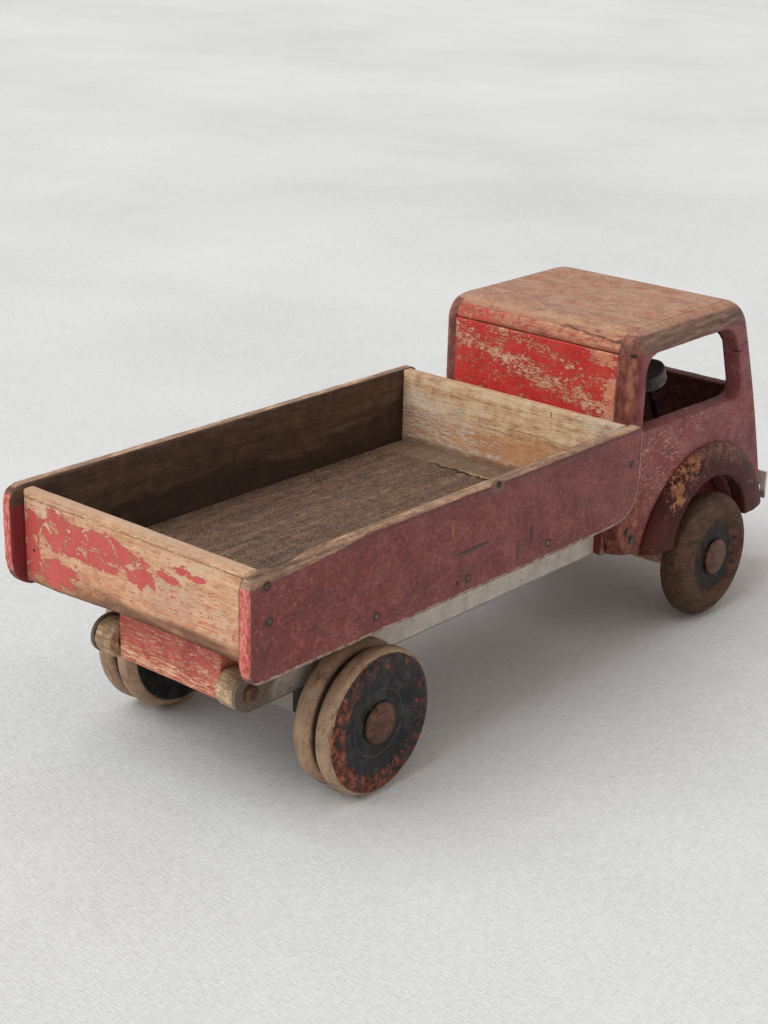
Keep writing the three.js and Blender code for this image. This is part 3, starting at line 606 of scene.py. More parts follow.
def floor_finish():
    """The bed's floor: dark worn wood, scratched, with a split across it near the front board."""
    f = Finish("bed_floor_wood")
    colour, height = wood(f, X, [(48, 34, 26), (94, 70, 54), (146, 114, 90)], contrast=0.95)
    traces = f.rise(f.grain(X, 44, 2, rough=0.78), 0.55, 0.62)
    colour = f.over(colour, traces, 0.55, (120, 60, 52))
    grime = f.rise(f.noise(26), 0.48, 0.6)
    colour = f.over(colour, grime, 0.45, (78, 62, 52))
    grit = f.noise((1.7, 1.2, 1.2), rough=0.8, warp=0.6)
    lines = f.grain(X, 14, 0.6, detail=3, rough=0.7)
    colour = f.over(colour, f.rise(lines, 0.57, 0.63), 0.45, (168, 138, 112))
    colour = f.over(colour, f.rise(lines, 0.43, 0.37), 0.6, (52, 38, 30))
    colour = f.over(colour, f.rise(grit, 0.545, 0.6), 0.8, (178, 148, 120))
    colour = f.over(colour, f.rise(grit, 0.455, 0.41), 0.7, (50, 36, 29))
    scratches = f.rise(f.noise((0.7, 16, 10), detail=3, rough=0.6, warp=0.8), 0.7, 0.73)
    colour = f.over(colour, scratches, 0.5, (170, 148, 126))

    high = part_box("bed_floor")[HIGH]
    wander = f.noise((9, 7, 9))
    line = f.total(f.x, (wander, 16 * MM))
    split_x = high[X] - 18 * MM
    reach = f.both(f.rise(f.y, 0.048, 0.038), f.rise(f.y, -0.078, -0.070))
    width = f.rise(f.grain(Y, 6, 5, detail=5, rough=0.6), 0.34, 0.62)
    off_line = f.math("ABSOLUTE", f.total(line, -split_x))
    split = f.both(f.step(f.total(off_line, (width, -2.2 * MM)), 0, 0.25, -0.05), reach)
    beyond = f.step(line, split_x, -1, 2)
    colour = f.over(colour, beyond, 0.4, (138, 116, 94))
    torn = f.strip(line, split_x, 0.8, 3.4, 0.5)
    torn = f.both(torn, f.both(f.rise(f.y, 0.030, 0.010), f.rise(f.y, -0.078, -0.070)))
    torn = f.both(torn, f.rise(wander, 0.4, 0.46))
    colour = f.over(colour, torn, 0.75, (206, 158, 104))
    colour = f.over(colour, split, 0.95, (24, 17, 13))
    return f.finish(colour, 0.75, f.total(height, (split, -2.0), (grit, 0.25)))


def front_board_finish():
    """The board behind the cab: warm bare wood, with blue white paint left in streaks near the floor."""
    f = Finish("bed_front_wood")
    colour, height = wood(f, Y, [(154, 106, 70), (224, 180, 136), (246, 220, 186)], contrast=1.05)
    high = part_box("bed_front_board")[HIGH]
    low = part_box("bed_front_board")[LOW]
    lower = f.total((f.z, -1.0), (f.grain(Y, 40, 12, detail=7, rough=0.7), 34 * MM))
    warm = f.step(lower, -high[Z], 38, 50)
    colour = f.over(colour, warm, 0.65, (186, 118, 66))
    streaks = f.grain(Y, 6, 0.8, detail=6, rough=0.8)
    region = f.distance((low[X], high[Y] - 10 * MM, FLOOR_TOP + 14 * MM), (50, 75, 26))
    low_line = f.distance((low[X], high[Y] - 40 * MM, FLOOR_TOP + 5 * MM), (50, 62, 5))
    corner = f.distance((low[X], low[Y] + 10 * MM, high[Z] - 3 * MM), (50, 26, 8))
    near = f.math("MINIMUM", f.math("MINIMUM", region, low_line), corner)
    level = f.total(streaks, (f.rise(near, 1.5, 0.3), 0.085))
    colour = f.over(colour, f.rise(level, 0.6, 0.615), 0.9, (206, 214, 206))
    orange = f.rise(f.total(f.grain(Y, 9, 1.2, detail=6, rough=0.8), (warm, 0.03)), 0.58, 0.61)
    colour = f.over(colour, orange, 0.6, (190, 104, 54))
    stain_line = f.total(f.z, (f.noise(16, detail=6, rough=0.6), -9 * MM))
    stain = f.step(stain_line, FLOOR_TOP, 1, -3)
    colour = f.over(colour, stain, 0.6, (96, 74, 56))
    crack = f.patch((low[X], -0.037, high[Z] - 4 * MM), (20, 0.6, 2.2), 0.3)
    colour = f.over(colour, crack, 0.7, (60, 44, 34))
    top = f.step(f.z, high[Z], -1.6, -0.6)
    colour = f.over(colour, top, 0.45, (150, 126, 104))
    return f.finish(colour, 0.7, height)


def cab_finish():
    """The cab: bright red behind, faded on the roof, mauve at the sides, bare along its worn edges."""
    f = Finish("cab_paint", draws=4)
    rear = lowest("cab_rear_panel", X)
    front_x = highest("cab_front_panel", X)
    half = highest("cab_left_side", Y)
    above_bed = f.step(f.z, BED_TOP, -50, -44)
    behind = f.both(f.step(f.x, rear, 6, 4.5), above_bed)
    flank = f.step(f.math("ABSOLUTE", f.y), half, -15, -13.4)
    panel = f.without(behind, flank)
    tan = wood(f, Y, [(160, 112, 84), (208, 168, 140), (228, 198, 174)])

    # The sides: mauve and crimson, with small flecks of bare wood in streaks.
    mauve, mauve_height = paint(f, X, MAUVE)
    crimson = f.rise(f.noise((26, 16, 16)), 0.5, 0.6)
    mauve = f.over(mauve, crimson, 0.55, (136, 46, 46))
    mauve = f.over(mauve, specks(f, 1.8, 0.42), 0.6, (72, 40, 44))
    fleck_noise = f.noise((4.4, 2.4, 1.5), detail=5, rough=0.72)
    low_rear = f.patch((rear + 30 * MM, -half, BED_TOP - 56 * MM), (45, 30, 32), 0.6)
    sill = f.patch((rear + 80 * MM, -half, BED_TOP - 24 * MM), (70, 30, 14), 0.6)
    dense = f.total((f.noise(24, detail=4, rough=0.6), 0.12), (low_rear, 0.055), (sill, 0.03))
    flecks = f.rise(f.total(fleck_noise, dense), 0.695, 0.715)
    side_tone = f.mix(f.rise(dense, 0.08, 0.13), (196, 134, 104), (206, 150, 112))

    # The rear panel: bright red, flaked off in a band that falls from upper left to lower right.
    red = paint(f, Y, BRIGHT_RED, worn=0.7)
    diagonal = f.total(f.z, (f.y, -0.24))
    streak = f.strip(diagonal, BED_TOP, 7, 17, 9)
    high_flakes = f.strip(diagonal, BED_TOP, 27, 34, 6)
    flake_noise = f.total((f.noise((8, 8, 5), detail=9, rough=0.8), 0.55),
                          (f.grain(Y, 4, 1.1, detail=6, rough=0.8), 0.45))
    corner = f.distance((rear, -0.066, BED_TOP + 8 * MM), (30, 7, 15))
    top_corner = f.distance((rear, -0.060, BED_TOP + 34 * MM), (30, 12, 6))
    peach = f.rise(f.math("MINIMUM", corner, top_corner), 1.5, 0.4)
    lost = f.total(flake_noise, (streak, 0.085), (high_flakes, 0.05), (peach, 0.085))
    lost_paint = f.rise(lost, 0.534, 0.544)
    peach_wood = wood(f, Y, [(184, 92, 70), (212, 134, 100), (226, 164, 128)], contrast=0.8)
    panel_bare = f.mix(f.either(peach, f.rise(lost, 0.6, 0.56)), tan[0], peach_wood[0])
    panel_colour = f.mix(lost_paint, red[0], panel_bare)

    # The band above it, the rear of the roof board: mostly bare, pinkish tan.
    band_wood = wood(f, Y, [(126, 72, 52), (176, 108, 82), (206, 148, 112)])
    band_red = f.rise(f.total(flake_noise, (f.rise(f.y, -0.01, 0.06), 0.075)), 0.55, 0.57)
    band = f.step(f.z, ROOF_SEAM, -0.6, 0)
    band_colour = f.over(band_wood[0], band_red, 0.85, (206, 66, 54))
    panel_colour = f.mix(band, panel_colour, band_colour)
    seam_line = f.strip(f.z, ROOF_SEAM, -0.4, 0.1, 0.2)
    seam_line = f.both(seam_line, f.rise(flake_noise, 0.46, 0.54))
    panel_colour = f.over(panel_colour, seam_line, 0.6, (128, 66, 52))

    side_colour = f.mix(flecks, mauve, side_tone)
    colour = f.mix(panel, side_colour, panel_colour)
    height = f.total((mauve_height, 0.8), (f.both(lost_paint, panel), -0.3))

    # The roof: faded to a pinkish tan, with traces of red.
    faded = wood(f, Y, [(128, 90, 72), (164, 122, 101), (184, 146, 124)], contrast=0.9)
    blotches = f.tones(f.noise((9, 14, 9), detail=9, rough=0.8),
                       [(130, 94, 72), (166, 128, 102), (184, 147, 118)], 0.42, 0.58)
    traces = f.rise(f.noise((9, 22, 8), detail=9, rough=0.82), 0.52, 0.56)
    top_colour = f.mix(f.both(traces, 0.5), f.mix(0.6, faded[0], blotches), (174, 80, 68))
    pale = f.rise(f.noise((30, 60, 30), detail=6, rough=0.65), 0.52, 0.64)
    top_colour = f.over(top_colour, pale, 0.35, (172, 140, 114))
    grains = f.noise((2.4, 3.2, 2), detail=6, rough=0.8)
    top_colour = f.over(top_colour, f.rise(grains, 0.54, 0.6), 0.45, (206, 168, 140))
    top_colour = f.over(top_colour, f.rise(grains, 0.45, 0.39), 0.5, (126, 84, 64))
    on_top = f.step(f.total(f.z, (fleck_noise, 2 * MM)), ROOF_SEAM, 12, 13.4)
    colour = f.mix(on_top, colour, top_colour)
    rear_edge = f.both(f.step(f.x, rear, 22, 12), f.without(1.0, flank))
    tan_edge = f.both(rear_edge, f.strip(f.z, ROOF_SEAM, 9.5, 13.2, 1.2))
    tan_edge = f.both(tan_edge, f.rise(flake_noise, 0.42, 0.52))
    colour = f.over(colour, tan_edge, 0.7, (186, 140, 100))
    crack_bend = f.grain(Y, 14, 6, detail=5, rough=0.6)
    crack_line = f.total(f.z, (f.y, -0.04), (crack_bend, 5 * MM))
    crack_at = ROOF_SEAM + 13 * MM
    crack = f.strip(crack_line, crack_at, -0.5, 0.5, 0.4)
    crack = f.both(crack, rear_edge, f.rise(f.y, -0.012, -0.030))
    colour = f.over(colour, crack, 0.85, (70, 44, 34))

    # Worn and dirty edges.
    edge = edges(f, 0.45, 0.65, 0.9)
    grime = f.grain(X, 12, 5)
    edge_tone = f.tones(grime, [(92, 72, 60), (140, 110, 92), (192, 124, 92)])
    colour = f.over(colour, edge, 0.8, edge_tone)
    brow_tone = f.tones(f.noise((22, 8, 3)),
                        [(84, 66, 54), (114, 91, 75), (142, 116, 96)], 0.4, 0.6)
    brow = f.both(f.step(f.total(f.z, (grime, 8 * MM)), ROOF_SEAM, 2, 6), flank)
    brow = f.without(brow, on_top)
    colour = f.over(colour, brow, 0.85, brow_tone)
    post = f.both(f.step(f.x, rear, 15, 5), f.both(flank, above_bed))
    corner_tone = f.tones(f.noise((8, 8, 14)), [(90, 38, 30), (122, 66, 50), (166, 106, 80)])
    colour = f.over(colour, f.without(post, on_top), 0.85, corner_tone)
    lobe_tone = f.tones(f.noise((6, 6, 8), rough=0.78),
                        [(84, 44, 34), (116, 62, 46), (144, 78, 58), (178, 124, 86)], 0.42, 0.62)
    lobe = f.step(f.total(f.z, (grime, 16 * MM)), BED_BOTTOM, 24, 8)
    lobe = f.both(lobe, flank, f.step(f.x, rear, 40, 10))
    colour = f.over(colour, lobe, 0.8, lobe_tone)
    for place, radii in CAB_HOLES:
        colour = f.mix(f.patch(place, radii, 0.3), colour, (40, 26, 22))

    # Painted shade: the faces inside the cab, all but their worn edges, are drawn a darker red, for the shade
    # under the roof.
    inner = f.step(f.math("ABSOLUTE", f.y), half, -12.5, -13.6)
    within = f.both(f.step(f.x, rear, 8, 9.5), inner)
    within = f.both(within, f.step(f.z, ROOF_SEAM, 1, -1))
    foot = lowest("cab_front_panel", Z)
    leaning = f.total(f.x, (f.z, FRONT_LEAN), -FRONT_LEAN * foot)
    within = f.both(within, f.step(leaning, front_x, -1, -3))
    inside_shade_tone = f.tones(f.noise(7, detail=7), [(52, 22, 22), (84, 34, 33), (112, 58, 50)], 0.4, 0.6)
    colour = f.over(colour, f.both(within, f.rise(f.wear(), 0.6, 0.3)), 0.85, inside_shade_tone)
    return f.finish(colour, 0.68, height)


def hinge_block_finish():
    """The hinge block: pink red paint, worn through in level streaks and most of all below."""
    f = Finish("hinge_block_paint")
    bare = wood(f, Y, [(194, 124, 90), (236, 172, 132), (248, 206, 168)])
    red = paint(f, Y, [(172, 60, 58), (206, 84, 78), (232, 124, 108)])
    streaks = f.total((f.grain(Y, 7, 0.9, detail=5), 0.8), (f.noise(9), 0.2))
    bottom = lowest("bed_hinge_block", Z)
    low_edge = f.step(f.z, bottom, 26, 0)
    rear = lowest("bed_hinge_block", X)
    under = f.step(f.z, bottom, 3, 1)
    cover = f.rise(f.total((streaks, -1.0), (low_edge, -0.055)), -0.545, -0.532)
    worn_edge = f.both(edges(f, 0.6, 0.8, 0.7), f.step(f.x, rear, 4, 2))
    cover = f.without(cover, worn_edge)
    colour, roughness, height = layered(f, cover, bare, red)
    colour = f.over(colour, under, 0.5, (206, 120, 96))
    return f.finish(colour, roughness, height)


def dark_red_finish(name, axis=Y):
    f = Finish(name)
    under = wood(f, axis, GREY_WOOD)
    over = paint(f, axis, DEEP_RED)
    cover = f.without(flakes(f, axis, 0.15), edges(f))
    return f.finish(*layered(f, cover, under, over))


def fender_finish(side):
    """A fender: deep red with one large flaked patch, a dusty crown and a pale rim."""
    f = Finish(f"{side}_fender_paint")
    bare = wood(f, X, [(116, 76, 52), (160, 106, 76), (192, 138, 104)])
    red = paint(f, X, [(40, 15, 14), (72, 24, 23), (98, 37, 32)])
    centre = middle(f"{side}_fender")
    jagged = f.noise(9, detail=9, rough=0.8)
    lost = f.distance((centre[X] - 30 * MM, centre[Y], centre[Z] + 22 * MM), (19, 30, 12))
    low_lost = f.distance((centre[X] - 46 * MM, centre[Y], centre[Z] + 8 * MM), (9, 30, 16))
    near = f.rise(f.math("MINIMUM", lost, low_lost), 1.5, 0.4)
    lost = f.rise(f.total(jagged, (near, 0.11)), 0.585, 0.595)
    chips = f.rise(f.noise(3, detail=7, rough=0.8), 0.62, 0.64)
    cover = f.without(1.0, f.either(lost, chips))
    colour, roughness, height = layered(f, cover, bare, red)
    top = highest(f"{side}_fender", Z)
    dust = f.noise(9, rough=0.72)
    crown = f.total(f.z, (dust, 22 * MM), (f.x, 0.25), (centre[X], -0.25))
    dust_tone = f.tones(f.noise(5), [(76, 50, 40), (110, 77, 65), (156, 110, 97)])
    colour = f.over(colour, f.step(crown, top, -4, 6), 0.8, dust_tone)
    dark = f.step(f.total(f.z, (dust, -16 * MM)), lowest(f"{side}_fender", Z), 18, 4)
    colour = f.over(colour, dark, 0.6, (82, 42, 33))
    colour = f.over(colour, edges(f, 0.42, 0.6, 0.6), 0.75, (142, 104, 84))
    return f.finish(colour, roughness, height, specular=0.25)


def grey_wood_finish(name, axis):
    f = Finish(name)
    colour, height = wood(f, axis, [(112, 86, 62), (190, 154, 118), (232, 200, 160)], contrast=1.1)
    stains = f.rise(f.noise(6), 0.48, 0.56)
    colour = f.over(colour, stains, 0.55, (120, 90, 66))
    colour = f.over(colour, specks(f, 2, 0.6), 0.7, (74, 60, 48))
    colour = f.over(colour, edges(f, 0.3, 0.9), 0.5, (206, 172, 134))
    return f.finish(colour, 0.65, height)


def galvanised_finish(name, tone):
    """Old zinc plated sheet: dull pale grey, darker towards the hinge with dirt and painted shadow of the
    bed, with a few brown specks of rust.
    """
    f = Finish(name)
    clouds = f.noise(12, rough=0.7)
    grains = f.noise(0.9, detail=6, rough=0.8)
    colours = [tuple(c * k for c in tone) for k in (0.82, 1.0, 1.12)]
    colour = f.tones(f.total((clouds, 0.35), (grains, 0.65)), colours, 0.4, 0.6)
    colour = f.over(colour, specks(f, 1.4, 0.25), 0.6, (112, 92, 74))
    low_edge = f.step(f.z, lowest("right_rail", Z), 1.5, 0.5)
    colour = f.over(colour, low_edge, 0.6, (72, 66, 60))
    # Darker towards the hinge: dirt, and painted shadow of the bed over the rails.
    hinge = f.step(f.total(f.x, (clouds, 30 * MM)), lowest("right_rail", X), 66, 38)
    hinge_dirt_and_shadow_tone = f.tones(grains, [(58, 47, 37), (92, 77, 61), (124, 106, 86)], 0.4, 0.6)
    colour = f.over(colour, hinge, 0.9, hinge_dirt_and_shadow_tone)
    roughness = f.total((clouds, 0.2), (hinge, 0.35), 0.42)
    return f.finish(colour, roughness, f.total((grains, 0.1), (clouds, 0.15)), metallic=0.1)


def rust_finish(name, colours):
    f = Finish(name)
    clouds = f.noise(5, detail=7)
    pits = f.noise(0.9, detail=5)
    colour = f.tones(f.total((clouds, 0.55), (pits, 0.45)), colours, 0.4, 0.6)
    roughness = f.total((clouds, 0.4), 0.3)
    return f.finish(colour, roughness, f.total((pits, 0.45), (clouds, 0.3)), metallic=0.2)


def wheel_coordinates(f, node):
    """Sockets for the distance from a wheel's axle, and for how far out from its middle plane."""
    centre = middle(node)
    x = f.math("SUBTRACT", f.x, centre[X])
    z = f.math("SUBTRACT", f.z, centre[Z])
    radius = f.math("SQRT", f.total(f.both(x, x), f.both(z, z)))
    out = f.math("SUBTRACT", f.y, centre[Y])
    return radius, f.math("MULTIPLY", out, math.copysign(1, centre[Y]))


def rear_wheel_finish(node):
    """A rear wheel: bare treads, a dark groove, flaking black on its face and red brown under it."""
    f = Finish(f"{node}_paint")
    radius, out = wheel_coordinates(f, node)
    tread, tread_height = wood(f, X, [(116, 88, 70), (172, 142, 116), (198, 170, 142)], contrast=0.6)
    fine = f.noise(1.5, detail=6, rough=0.78)
    ragged = f.noise(4.5, detail=9, rough=0.8, warp=0.4)
    dirt = f.rise(f.noise((14, 3, 14)), 0.5, 0.64)
    tread = f.over(tread, dirt, 0.7, (104, 76, 58))
    black = f.tones(f.noise(8, rough=0.72), [(22, 22, 23), (37, 37, 38), (58, 57, 56)])
    brown_value = f.total((f.noise(6), 0.5), (fine, 0.5))
    brown = f.tones(brown_value, [(84, 44, 33), (142, 76, 56), (180, 112, 84)], 0.4, 0.6)
    face = f.step(f.total(radius, (ragged, 5 * MM)), 0, 45.2, 44.4)
    outer_half = f.step(out, 0, 6, 8)
    colour = f.mix(f.both(face, outer_half), tread, brown)
    centre = middle(node)
    upper_front = f.total((f.x, 0.7), (f.z, 0.6), (centre[X], -0.7), (centre[Z], -0.6))
    flaked = f.total((ragged, 0.62), (fine, 0.38), (upper_front, 0.9))
    outer_paint = f.rise(flaked, 0.482, 0.492)
    inner_paint = f.step(f.total(radius, (ragged, -30 * MM)), 0, 17.2, 16.6)
    painted = f.both(f.either(outer_paint, inner_paint), f.both(face, outer_half))
    colour = f.mix(painted, colour, black)
    nicks = f.both(specks(f, 2, 0.3), painted)
    colour = f.over(colour, nicks, 0.7, (128, 70, 54))
    ring = f.strip(radius, 0, 20.5, 21.1, 0.35)
    colour = f.over(colour, f.both(ring, f.rise(ragged, 0.38, 0.5)), 0.5, (120, 110, 98))
    groove = f.math("ABSOLUTE", out)
    colour = f.over(colour, f.step(groove, 0, 2.4, 1.2), 0.9, (34, 27, 24))
    inside = f.step(out, 0, -6, -8)
    inner_face = f.both(inside, f.step(radius, 0, 40, 38))
    colour = f.mix(inner_face, colour, black)
    lip = f.both(f.strip(groove, 0, 1.8, 2.8, 0.5), f.rise(ragged, 0.5, 0.56))
    colour = f.over(colour, lip, 0.5, (168, 106, 78))
    height = f.total((tread_height, 0.6), f.both(painted, 0.4), (ring, -0.3))
    return f.finish(colour, f.total((painted, -0.28), 0.74), height, specular=0.35)


def front_wheel_finish(node):
    """A front wheel: dusty brown, with a worn black ring round the hub."""
    f = Finish(f"{node}_paint")
    radius, _ = wheel_coordinates(f, node)
    tread, tread_height = wood(f, X, [(50, 36, 28), (82, 61, 48), (112, 87, 70)], contrast=0.9)
    black = f.tones(f.noise(5), [(19, 20, 21), (33, 34, 35), (62, 57, 52)], 0.42, 0.62)
    ragged = f.noise(4, detail=9, rough=0.8)
    black_zone = f.step(f.total(radius, (ragged, -56 * MM)), 0, -4.2, -5)
    shoulder = f.strip(radius, 0, 22, 33, 4)
    colour = f.over(tread, f.both(shoulder, f.rise(ragged, 0.42, 0.56)), 0.4, (104, 60, 46))
    colour = f.mix(black_zone, colour, black)
    chips = f.rise(f.noise(3.4, detail=7, rough=0.8), 0.6, 0.62)
    colour = f.over(colour, f.both(chips, black_zone), 0.8, (120, 72, 52))
    cracks = f.rise(f.noise((1.2, 5, 6), detail=4, rough=0.6), 0.33, 0.28)
    colour = f.over(colour, f.both(cracks, black_zone), 0.7, (18, 17, 17))
    height = f.total((tread_height, 0.7), (black_zone, 0.3))
    return f.finish(colour, f.total((black_zone, -0.2), 0.74), height, specular=0.25)


def knob_finish():
    f = Finish("steering_grey")
    clouds = f.noise(6, rough=0.7)
    colour = f.tones(clouds, [(88, 86, 82), (110, 108, 104), (130, 128, 122)])
    lean = (math.sin(STEER_LEAN), math.cos(STEER_LEAN))
    centre = middle("steering_wheel")
    rise = f.total((f.x, lean[0]), (f.z, lean[1]))
    # Painted shade: the upper face of the disc is drawn a darker grey than its side, standing in for the
    # shade under the roof.
    shaded_top = f.step(f.total(rise, (centre[X] * lean[0] + centre[Z] * lean[1], -1.0)), 0, 3.6, 4.6)
    colour = f.over(colour, shaded_top, 0.4, (66, 62, 58))
    return f.finish(colour, 0.5, f.total((f.noise(1.2, detail=4, rough=0.6), 0.15), (clouds, 0.1)))


def canvas_finish():
    """Off white canvas: a fine plain weave with faint soft marks."""
    f = Finish("canvas")
    clouds = f.noise(500, detail=4, rough=0.6)
    warp_threads = f.noise((7, 1, 1000), detail=2, rough=0.6)
    weft_threads = f.noise((1, 7, 1000), detail=2, rough=0.6)
    threads = f.total((warp_threads, 0.5), (weft_threads, 0.5))
    shade = f.total((clouds, 0.4), (threads, 0.6))
    colour = f.tones(shade, [(200, 200, 199), (221, 221, 220), (235, 235, 234)], 0.3, 0.7)
    height = f.total((threads, 1.5), (f.noise(100, detail=3, rough=0.6), 3.0))
    return f.finish(colour, 0.9, height, specular=0.2)


# ---------------------------------------------------------------- the bed
def bevelled_tailgate(points):
    """The tailgate's lower rear edge is worn to a slope that widens towards the right."""
    low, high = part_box("tailgate")
    across = np.clip((high[Y] - 30 * MM - points[:, Y]) / (high[Y] - low[Y]), 0, 1)
    slope = 11 * MM * np.clip(across * 3, 0, 1)
    depth = np.clip(low[Z] + slope - points[:, Z], 0, None) * 0.55
    rear = np.clip((low[X] + 5 * MM - points[:, X]) / (5 * MM), 0, 1)
    points[:, X] += depth * rear
    return points


def bevelled_side(points):
    """The right side's outer top edge is worn to a slope, deepest at the rear, where it is gouged too."""
    low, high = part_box("bed_right_side")
    height = 7 * MM * np.clip(1 - (points[:, X] - low[X]) / (140 * MM), 0, 1) ** 0.8
    outer = np.clip((high[Y] - 1.5 * MM - points[:, Y]) / (high[Y] - low[Y]), 0, 1)
    over = np.clip(points[:, Z] - (high[Z] - height), 0, None)
    points[:, Z] -= over * outer * 0.85
    gouge = np.exp(-(((points[:, X] - TAILGATE_MIDDLE - 16 * MM) / (13 * MM)) ** 2)
                   - ((points[:, Y] - high[Y]) / (3 * MM)) ** 2)
    points[:, Z] -= 2.5 * MM * gouge * (points[:, Z] > high[Z] - 9 * MM)
    return points


def make_bed():
    body = "bed"
    worn_copy("bed_left_side", body, "bed_side_paint", side_board_finish("left"))
    worn_copy("bed_right_side", body, "bed_side_paint", side_board_finish("right"), shape=bevelled_side)
    ends = [(Y, LOW), (Y, HIGH)]
    worn_copy("tailgate", body, "bed_board_wood", tailgate_finish(), snug=ends, shape=bevelled_tailgate)
    worn_copy("bed_front_board", body, "bed_board_wood", front_board_finish(), snug=[*ends, (Z, LOW)])
    floor_ends = [*ends, (X, LOW), (X, HIGH)]
    worn_copy("bed_floor", body, "bed_floor_wood", floor_finish(), voxel=2 * MM, snug=floor_ends)
    worn_copy("bed_hinge_block", body, "bed_board_wood", hinge_block_finish(), voxel=1.2 * MM)
    worn_copy("bed_cross_batten", body, "bed_side_paint", dark_red_finish("batten_paint"), voxel=1.6 * MM)
    nail_material = rust_finish("nail_steel", [(46, 40, 36), (92, 83, 75), (138, 127, 115)])
    outline = [(0.05, 0.6), (0.9, 0.55), (1.45, 0.2), (1.5, -1), (0.05, -1)]
    head = softened([(radius * MM, offset * MM) for radius, offset in outline], 0.15 * MM, 1)
    for side, sign in (("left", 1), ("right", -1)):
        for index, (x, z) in enumerate(NAILS):
            mesh = turned_mesh("nail", head, (x, sign * (BED_HALF - 0.05 * MM), z), (0, sign, 0), steps=20)
            turned_piece(f"bed_{side}_nail_{index + 1}", mesh, body, "rusty_steel", nail_material)


# ---------------------------------------------------------------- the cab
def widened(points):
    """Moves the two ends of a piece of the cab shell into the cab sides, so that no gap shows."""
    out = np.abs(points[:, Y])
    share = np.clip((out - out.max() + 3 * MM) / (3 * MM), 0, 1)
    points[:, Y] += np.sign(points[:, Y]) * SEAM * share
    return points


def make_cab():
    body, slot, paint_on = "chassis", "cab_paint", cab_finish()
    for side in ("left", "right"):
        inner_face = [(Y, LOW if side == "left" else HIGH)]
        worn_copy(f"cab_{side}_side", body, slot, paint_on, rounding=4, snug=inner_face)
        worn_copy(f"{side}_fender", body, slot, fender_finish(side), voxel=1.2 * MM)
    ends = [(Y, LOW), (Y, HIGH)]
    worn_copy("cab_roof", body, slot, paint_on, snug=[*ends, (Z, LOW)], shape=widened)
    worn_copy("cab_rear_panel", body, slot, paint_on, snug=[*ends, (Z, HIGH)], shape=widened)
    worn_copy("cab_front_panel", body, slot, paint_on, snug=[*ends, (Z, HIGH)], shape=widened)
    under = dark_red_finish("cab_inside_paint", X)
    for node in ("cab_floor", "rear_cross_block", "front_chassis_block"):
        worn_copy(node, body, slot, under, voxel=2 * MM)
    worn_copy("front_axle_beam", body, "hinge_wood", grey_wood_finish("axle_beam_wood", Y), voxel=2 * MM)


# ---------------------------------------------------------------- metal parts and the hinge
def dressed(node, material):
    """Gives a CAD node a finish."""
    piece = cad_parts[node]
    piece.data.materials.clear()
    piece.data.materials.append(material)


def make_running_gear():
    rail_metal = galvanised_finish("rail_zinc", (200, 190, 178))
    dressed("left_rail", rail_metal)
    dressed("right_rail", rail_metal)
    dressed("rear_axle_hanger", galvanised_finish("hanger_zinc", (206, 200, 188)))
    dressed("front_bumper", rail_metal)
    for side in ("left", "right"):
        dressed(f"{side}_axle_sleeve", rail_metal)
        worn_copy(f"{side}_knuckle", "chassis", "hinge_wood", grey_wood_finish(f"{side}_knuckle_wood", Y),
                  voxel=1.1 * MM, rounding=6)
    rust, dark = rust_finish("cap_rust", RUST), rust_finish("screw_rust", DARK_RUST)
    for node in ("rear_axle", "front_axle"):
        dressed(node, dark)
    dressed("steering_column", rust_finish("column_rust_and_shade", COLUMN_RUST_AND_SHADE))
    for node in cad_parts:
        if node.endswith("_screw"):
            dressed(node, dark)
    dressed("hinge_pin", rust_finish("pin_rust", PIN_RUST))
    dressed("steering_wheel", knob_finish())
    for end in ("rear", "front"):
        for side in ("left", "right"):
            make_cap(f"{side}_{end}_hub_cap", rust)


def make_cap(node, material):
    """A pressed steel hub cap: a shallow dome with a rolled edge."""
    low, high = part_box(node)
    radius = (high[X] - low[X]) / 2
    height = high[Y] - low[Y]
    sign = math.copysign(1, middle(node)[Y])
    base = low[Y] if sign > 0 else high[Y]
    dome = [(0.05 * MM, 0), (radius, 0), (radius, height * 0.35)]
    dome += [(radius * math.cos(a), height * (0.35 + 0.65 * math.sin(a))) for a in np.linspace(0.2, 1.45, 9)]
    dome.append((0.05 * MM, height))
    centre = Vector((middle(node)[X], base, middle(node)[Z]))
    mesh = turned_mesh(node, softened(dome, 0.5 * MM, 2), centre, (0, sign, 0), steps=72, dent=0.35 * MM)
    turned_piece(f"domed_{node}", mesh, "chassis", "rusty_steel", material, node)


def disc_tread(outer, half, offset):
    """The outline of one rear disc's rounded tread, round its own middle plane at offset."""
    return [(outer - 6 * MM * abs(t) ** 3, offset + half * t) for t in np.linspace(-1, 1, 15)]


def make_wheels():
    for side in ("left", "right"):
        for end in ("rear", "front"):
            node = f"{side}_{end}_wheel"
            low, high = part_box(node)
            outer, half = (high[X] - low[X]) / 2, (high[Y] - low[Y]) / 2
            bore = 4 * MM
            if end == "rear":
                face, dish, rim = 13 * MM, 20 * MM, 33 * MM
                disc = half / 2 + 0.3 * MM
                disc_half = half - disc
                groove = (36 * MM, 0)
                discs = [*disc_tread(outer, disc_half, -disc), groove, *disc_tread(outer, disc_half, disc)]
                tread = [(rim, -half + 0.5 * MM), *discs, (rim, half - 0.5 * MM)]
                material = rear_wheel_finish(node)
            else:
                face, dish = 9 * MM, 25 * MM
                arc = [math.radians(a) for a in range(-90, 91, 9)]
                tread = [(outer - half + half * math.cos(a), half * math.sin(a)) for a in arc]
                material = front_wheel_finish(node)
            profile = [(bore, -face), (dish, -face), *tread, (dish, face), (bore, face)]
            smooth = softened(profile, 0.6 * MM, 1)
            mesh = turned_mesh(node, smooth, middle(node), (0, 1, 0), steps=180, dent=0.2 * MM)
            turned_piece(f"turned_{node}", mesh, node, "wheel_paint", material, node)


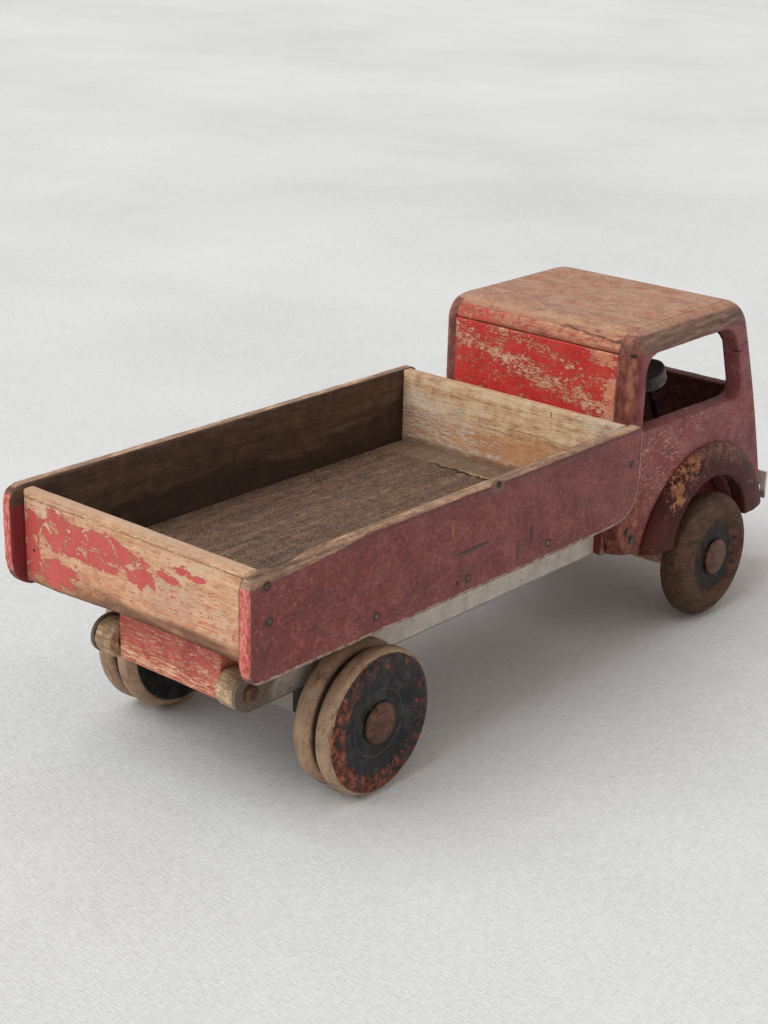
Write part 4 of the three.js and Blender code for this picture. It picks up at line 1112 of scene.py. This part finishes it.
# ---------------------------------------------------------------- the set
CAMERA_PLACE = Vector((-0.9217, -0.7310, 0.5406))
CAMERA_RIGHT = Vector((0.65494, -0.75526, 0.02523))
CAMERA_FORWARD = Vector((0.71342, 0.60695, -0.35022))
CAMERA_LENS = 66.74
KEY_FROM = Vector((-1.1, 0.5, 1.6))     # the soft main light comes from the upper left
KEY_SPREAD = math.radians(52)
KEY_STRENGTH = 2.06
KEY_COLOUR = (0.88, 0.965, 1.0)
SKY_COLOUR = (1.0, 0.93, 0.90, 1.0)
SKY = 0.62
FLOOR_HALF = 6.0


def make_set():
    camera = bpy.data.objects.new("camera", bpy.data.cameras.new("camera"))
    camera.data.lens = CAMERA_LENS
    camera.data.sensor_width = 36
    camera.data.clip_start = 0.01
    camera.data.clip_end = 100
    up = CAMERA_RIGHT.cross(CAMERA_FORWARD)
    turn = Matrix((CAMERA_RIGHT, up, -CAMERA_FORWARD)).transposed()
    camera.matrix_world = Matrix.Translation(CAMERA_PLACE) @ turn.to_4x4()
    bpy.context.scene.collection.objects.link(camera)
    bpy.context.scene.camera = camera
    key = bpy.data.objects.new("key", bpy.data.lights.new("key", "SUN"))
    key.data.angle = KEY_SPREAD
    key.data.energy = KEY_STRENGTH
    key.data.color = KEY_COLOUR
    key.rotation_euler = (-KEY_FROM).to_track_quat("-Z", "Y").to_euler()
    bpy.context.scene.collection.objects.link(key)
    world = bpy.data.worlds.new("studio")
    world.use_nodes = True
    background = world.node_tree.nodes["Background"]
    background.inputs[0].default_value = SKY_COLOUR
    background.inputs[1].default_value = SKY
    bpy.context.scene.world = world
    bpy.context.scene.view_settings.view_transform = "Standard"
    mesh = bpy.data.meshes.new("floor")
    corners = [(FLOOR_HALF * x, FLOOR_HALF * y, 0) for x, y in ((-1, -1), (1, -1), (1, 1), (-1, 1))]
    mesh.from_pydata(corners, [], [(0, 1, 2, 3)])
    floor = bpy.data.objects.new("floor", mesh)
    bpy.context.scene.collection.objects.link(floor)
    floor.data.materials.append(canvas_finish())


make_bed()
make_cab()
make_running_gear()
make_wheels()
make_set()
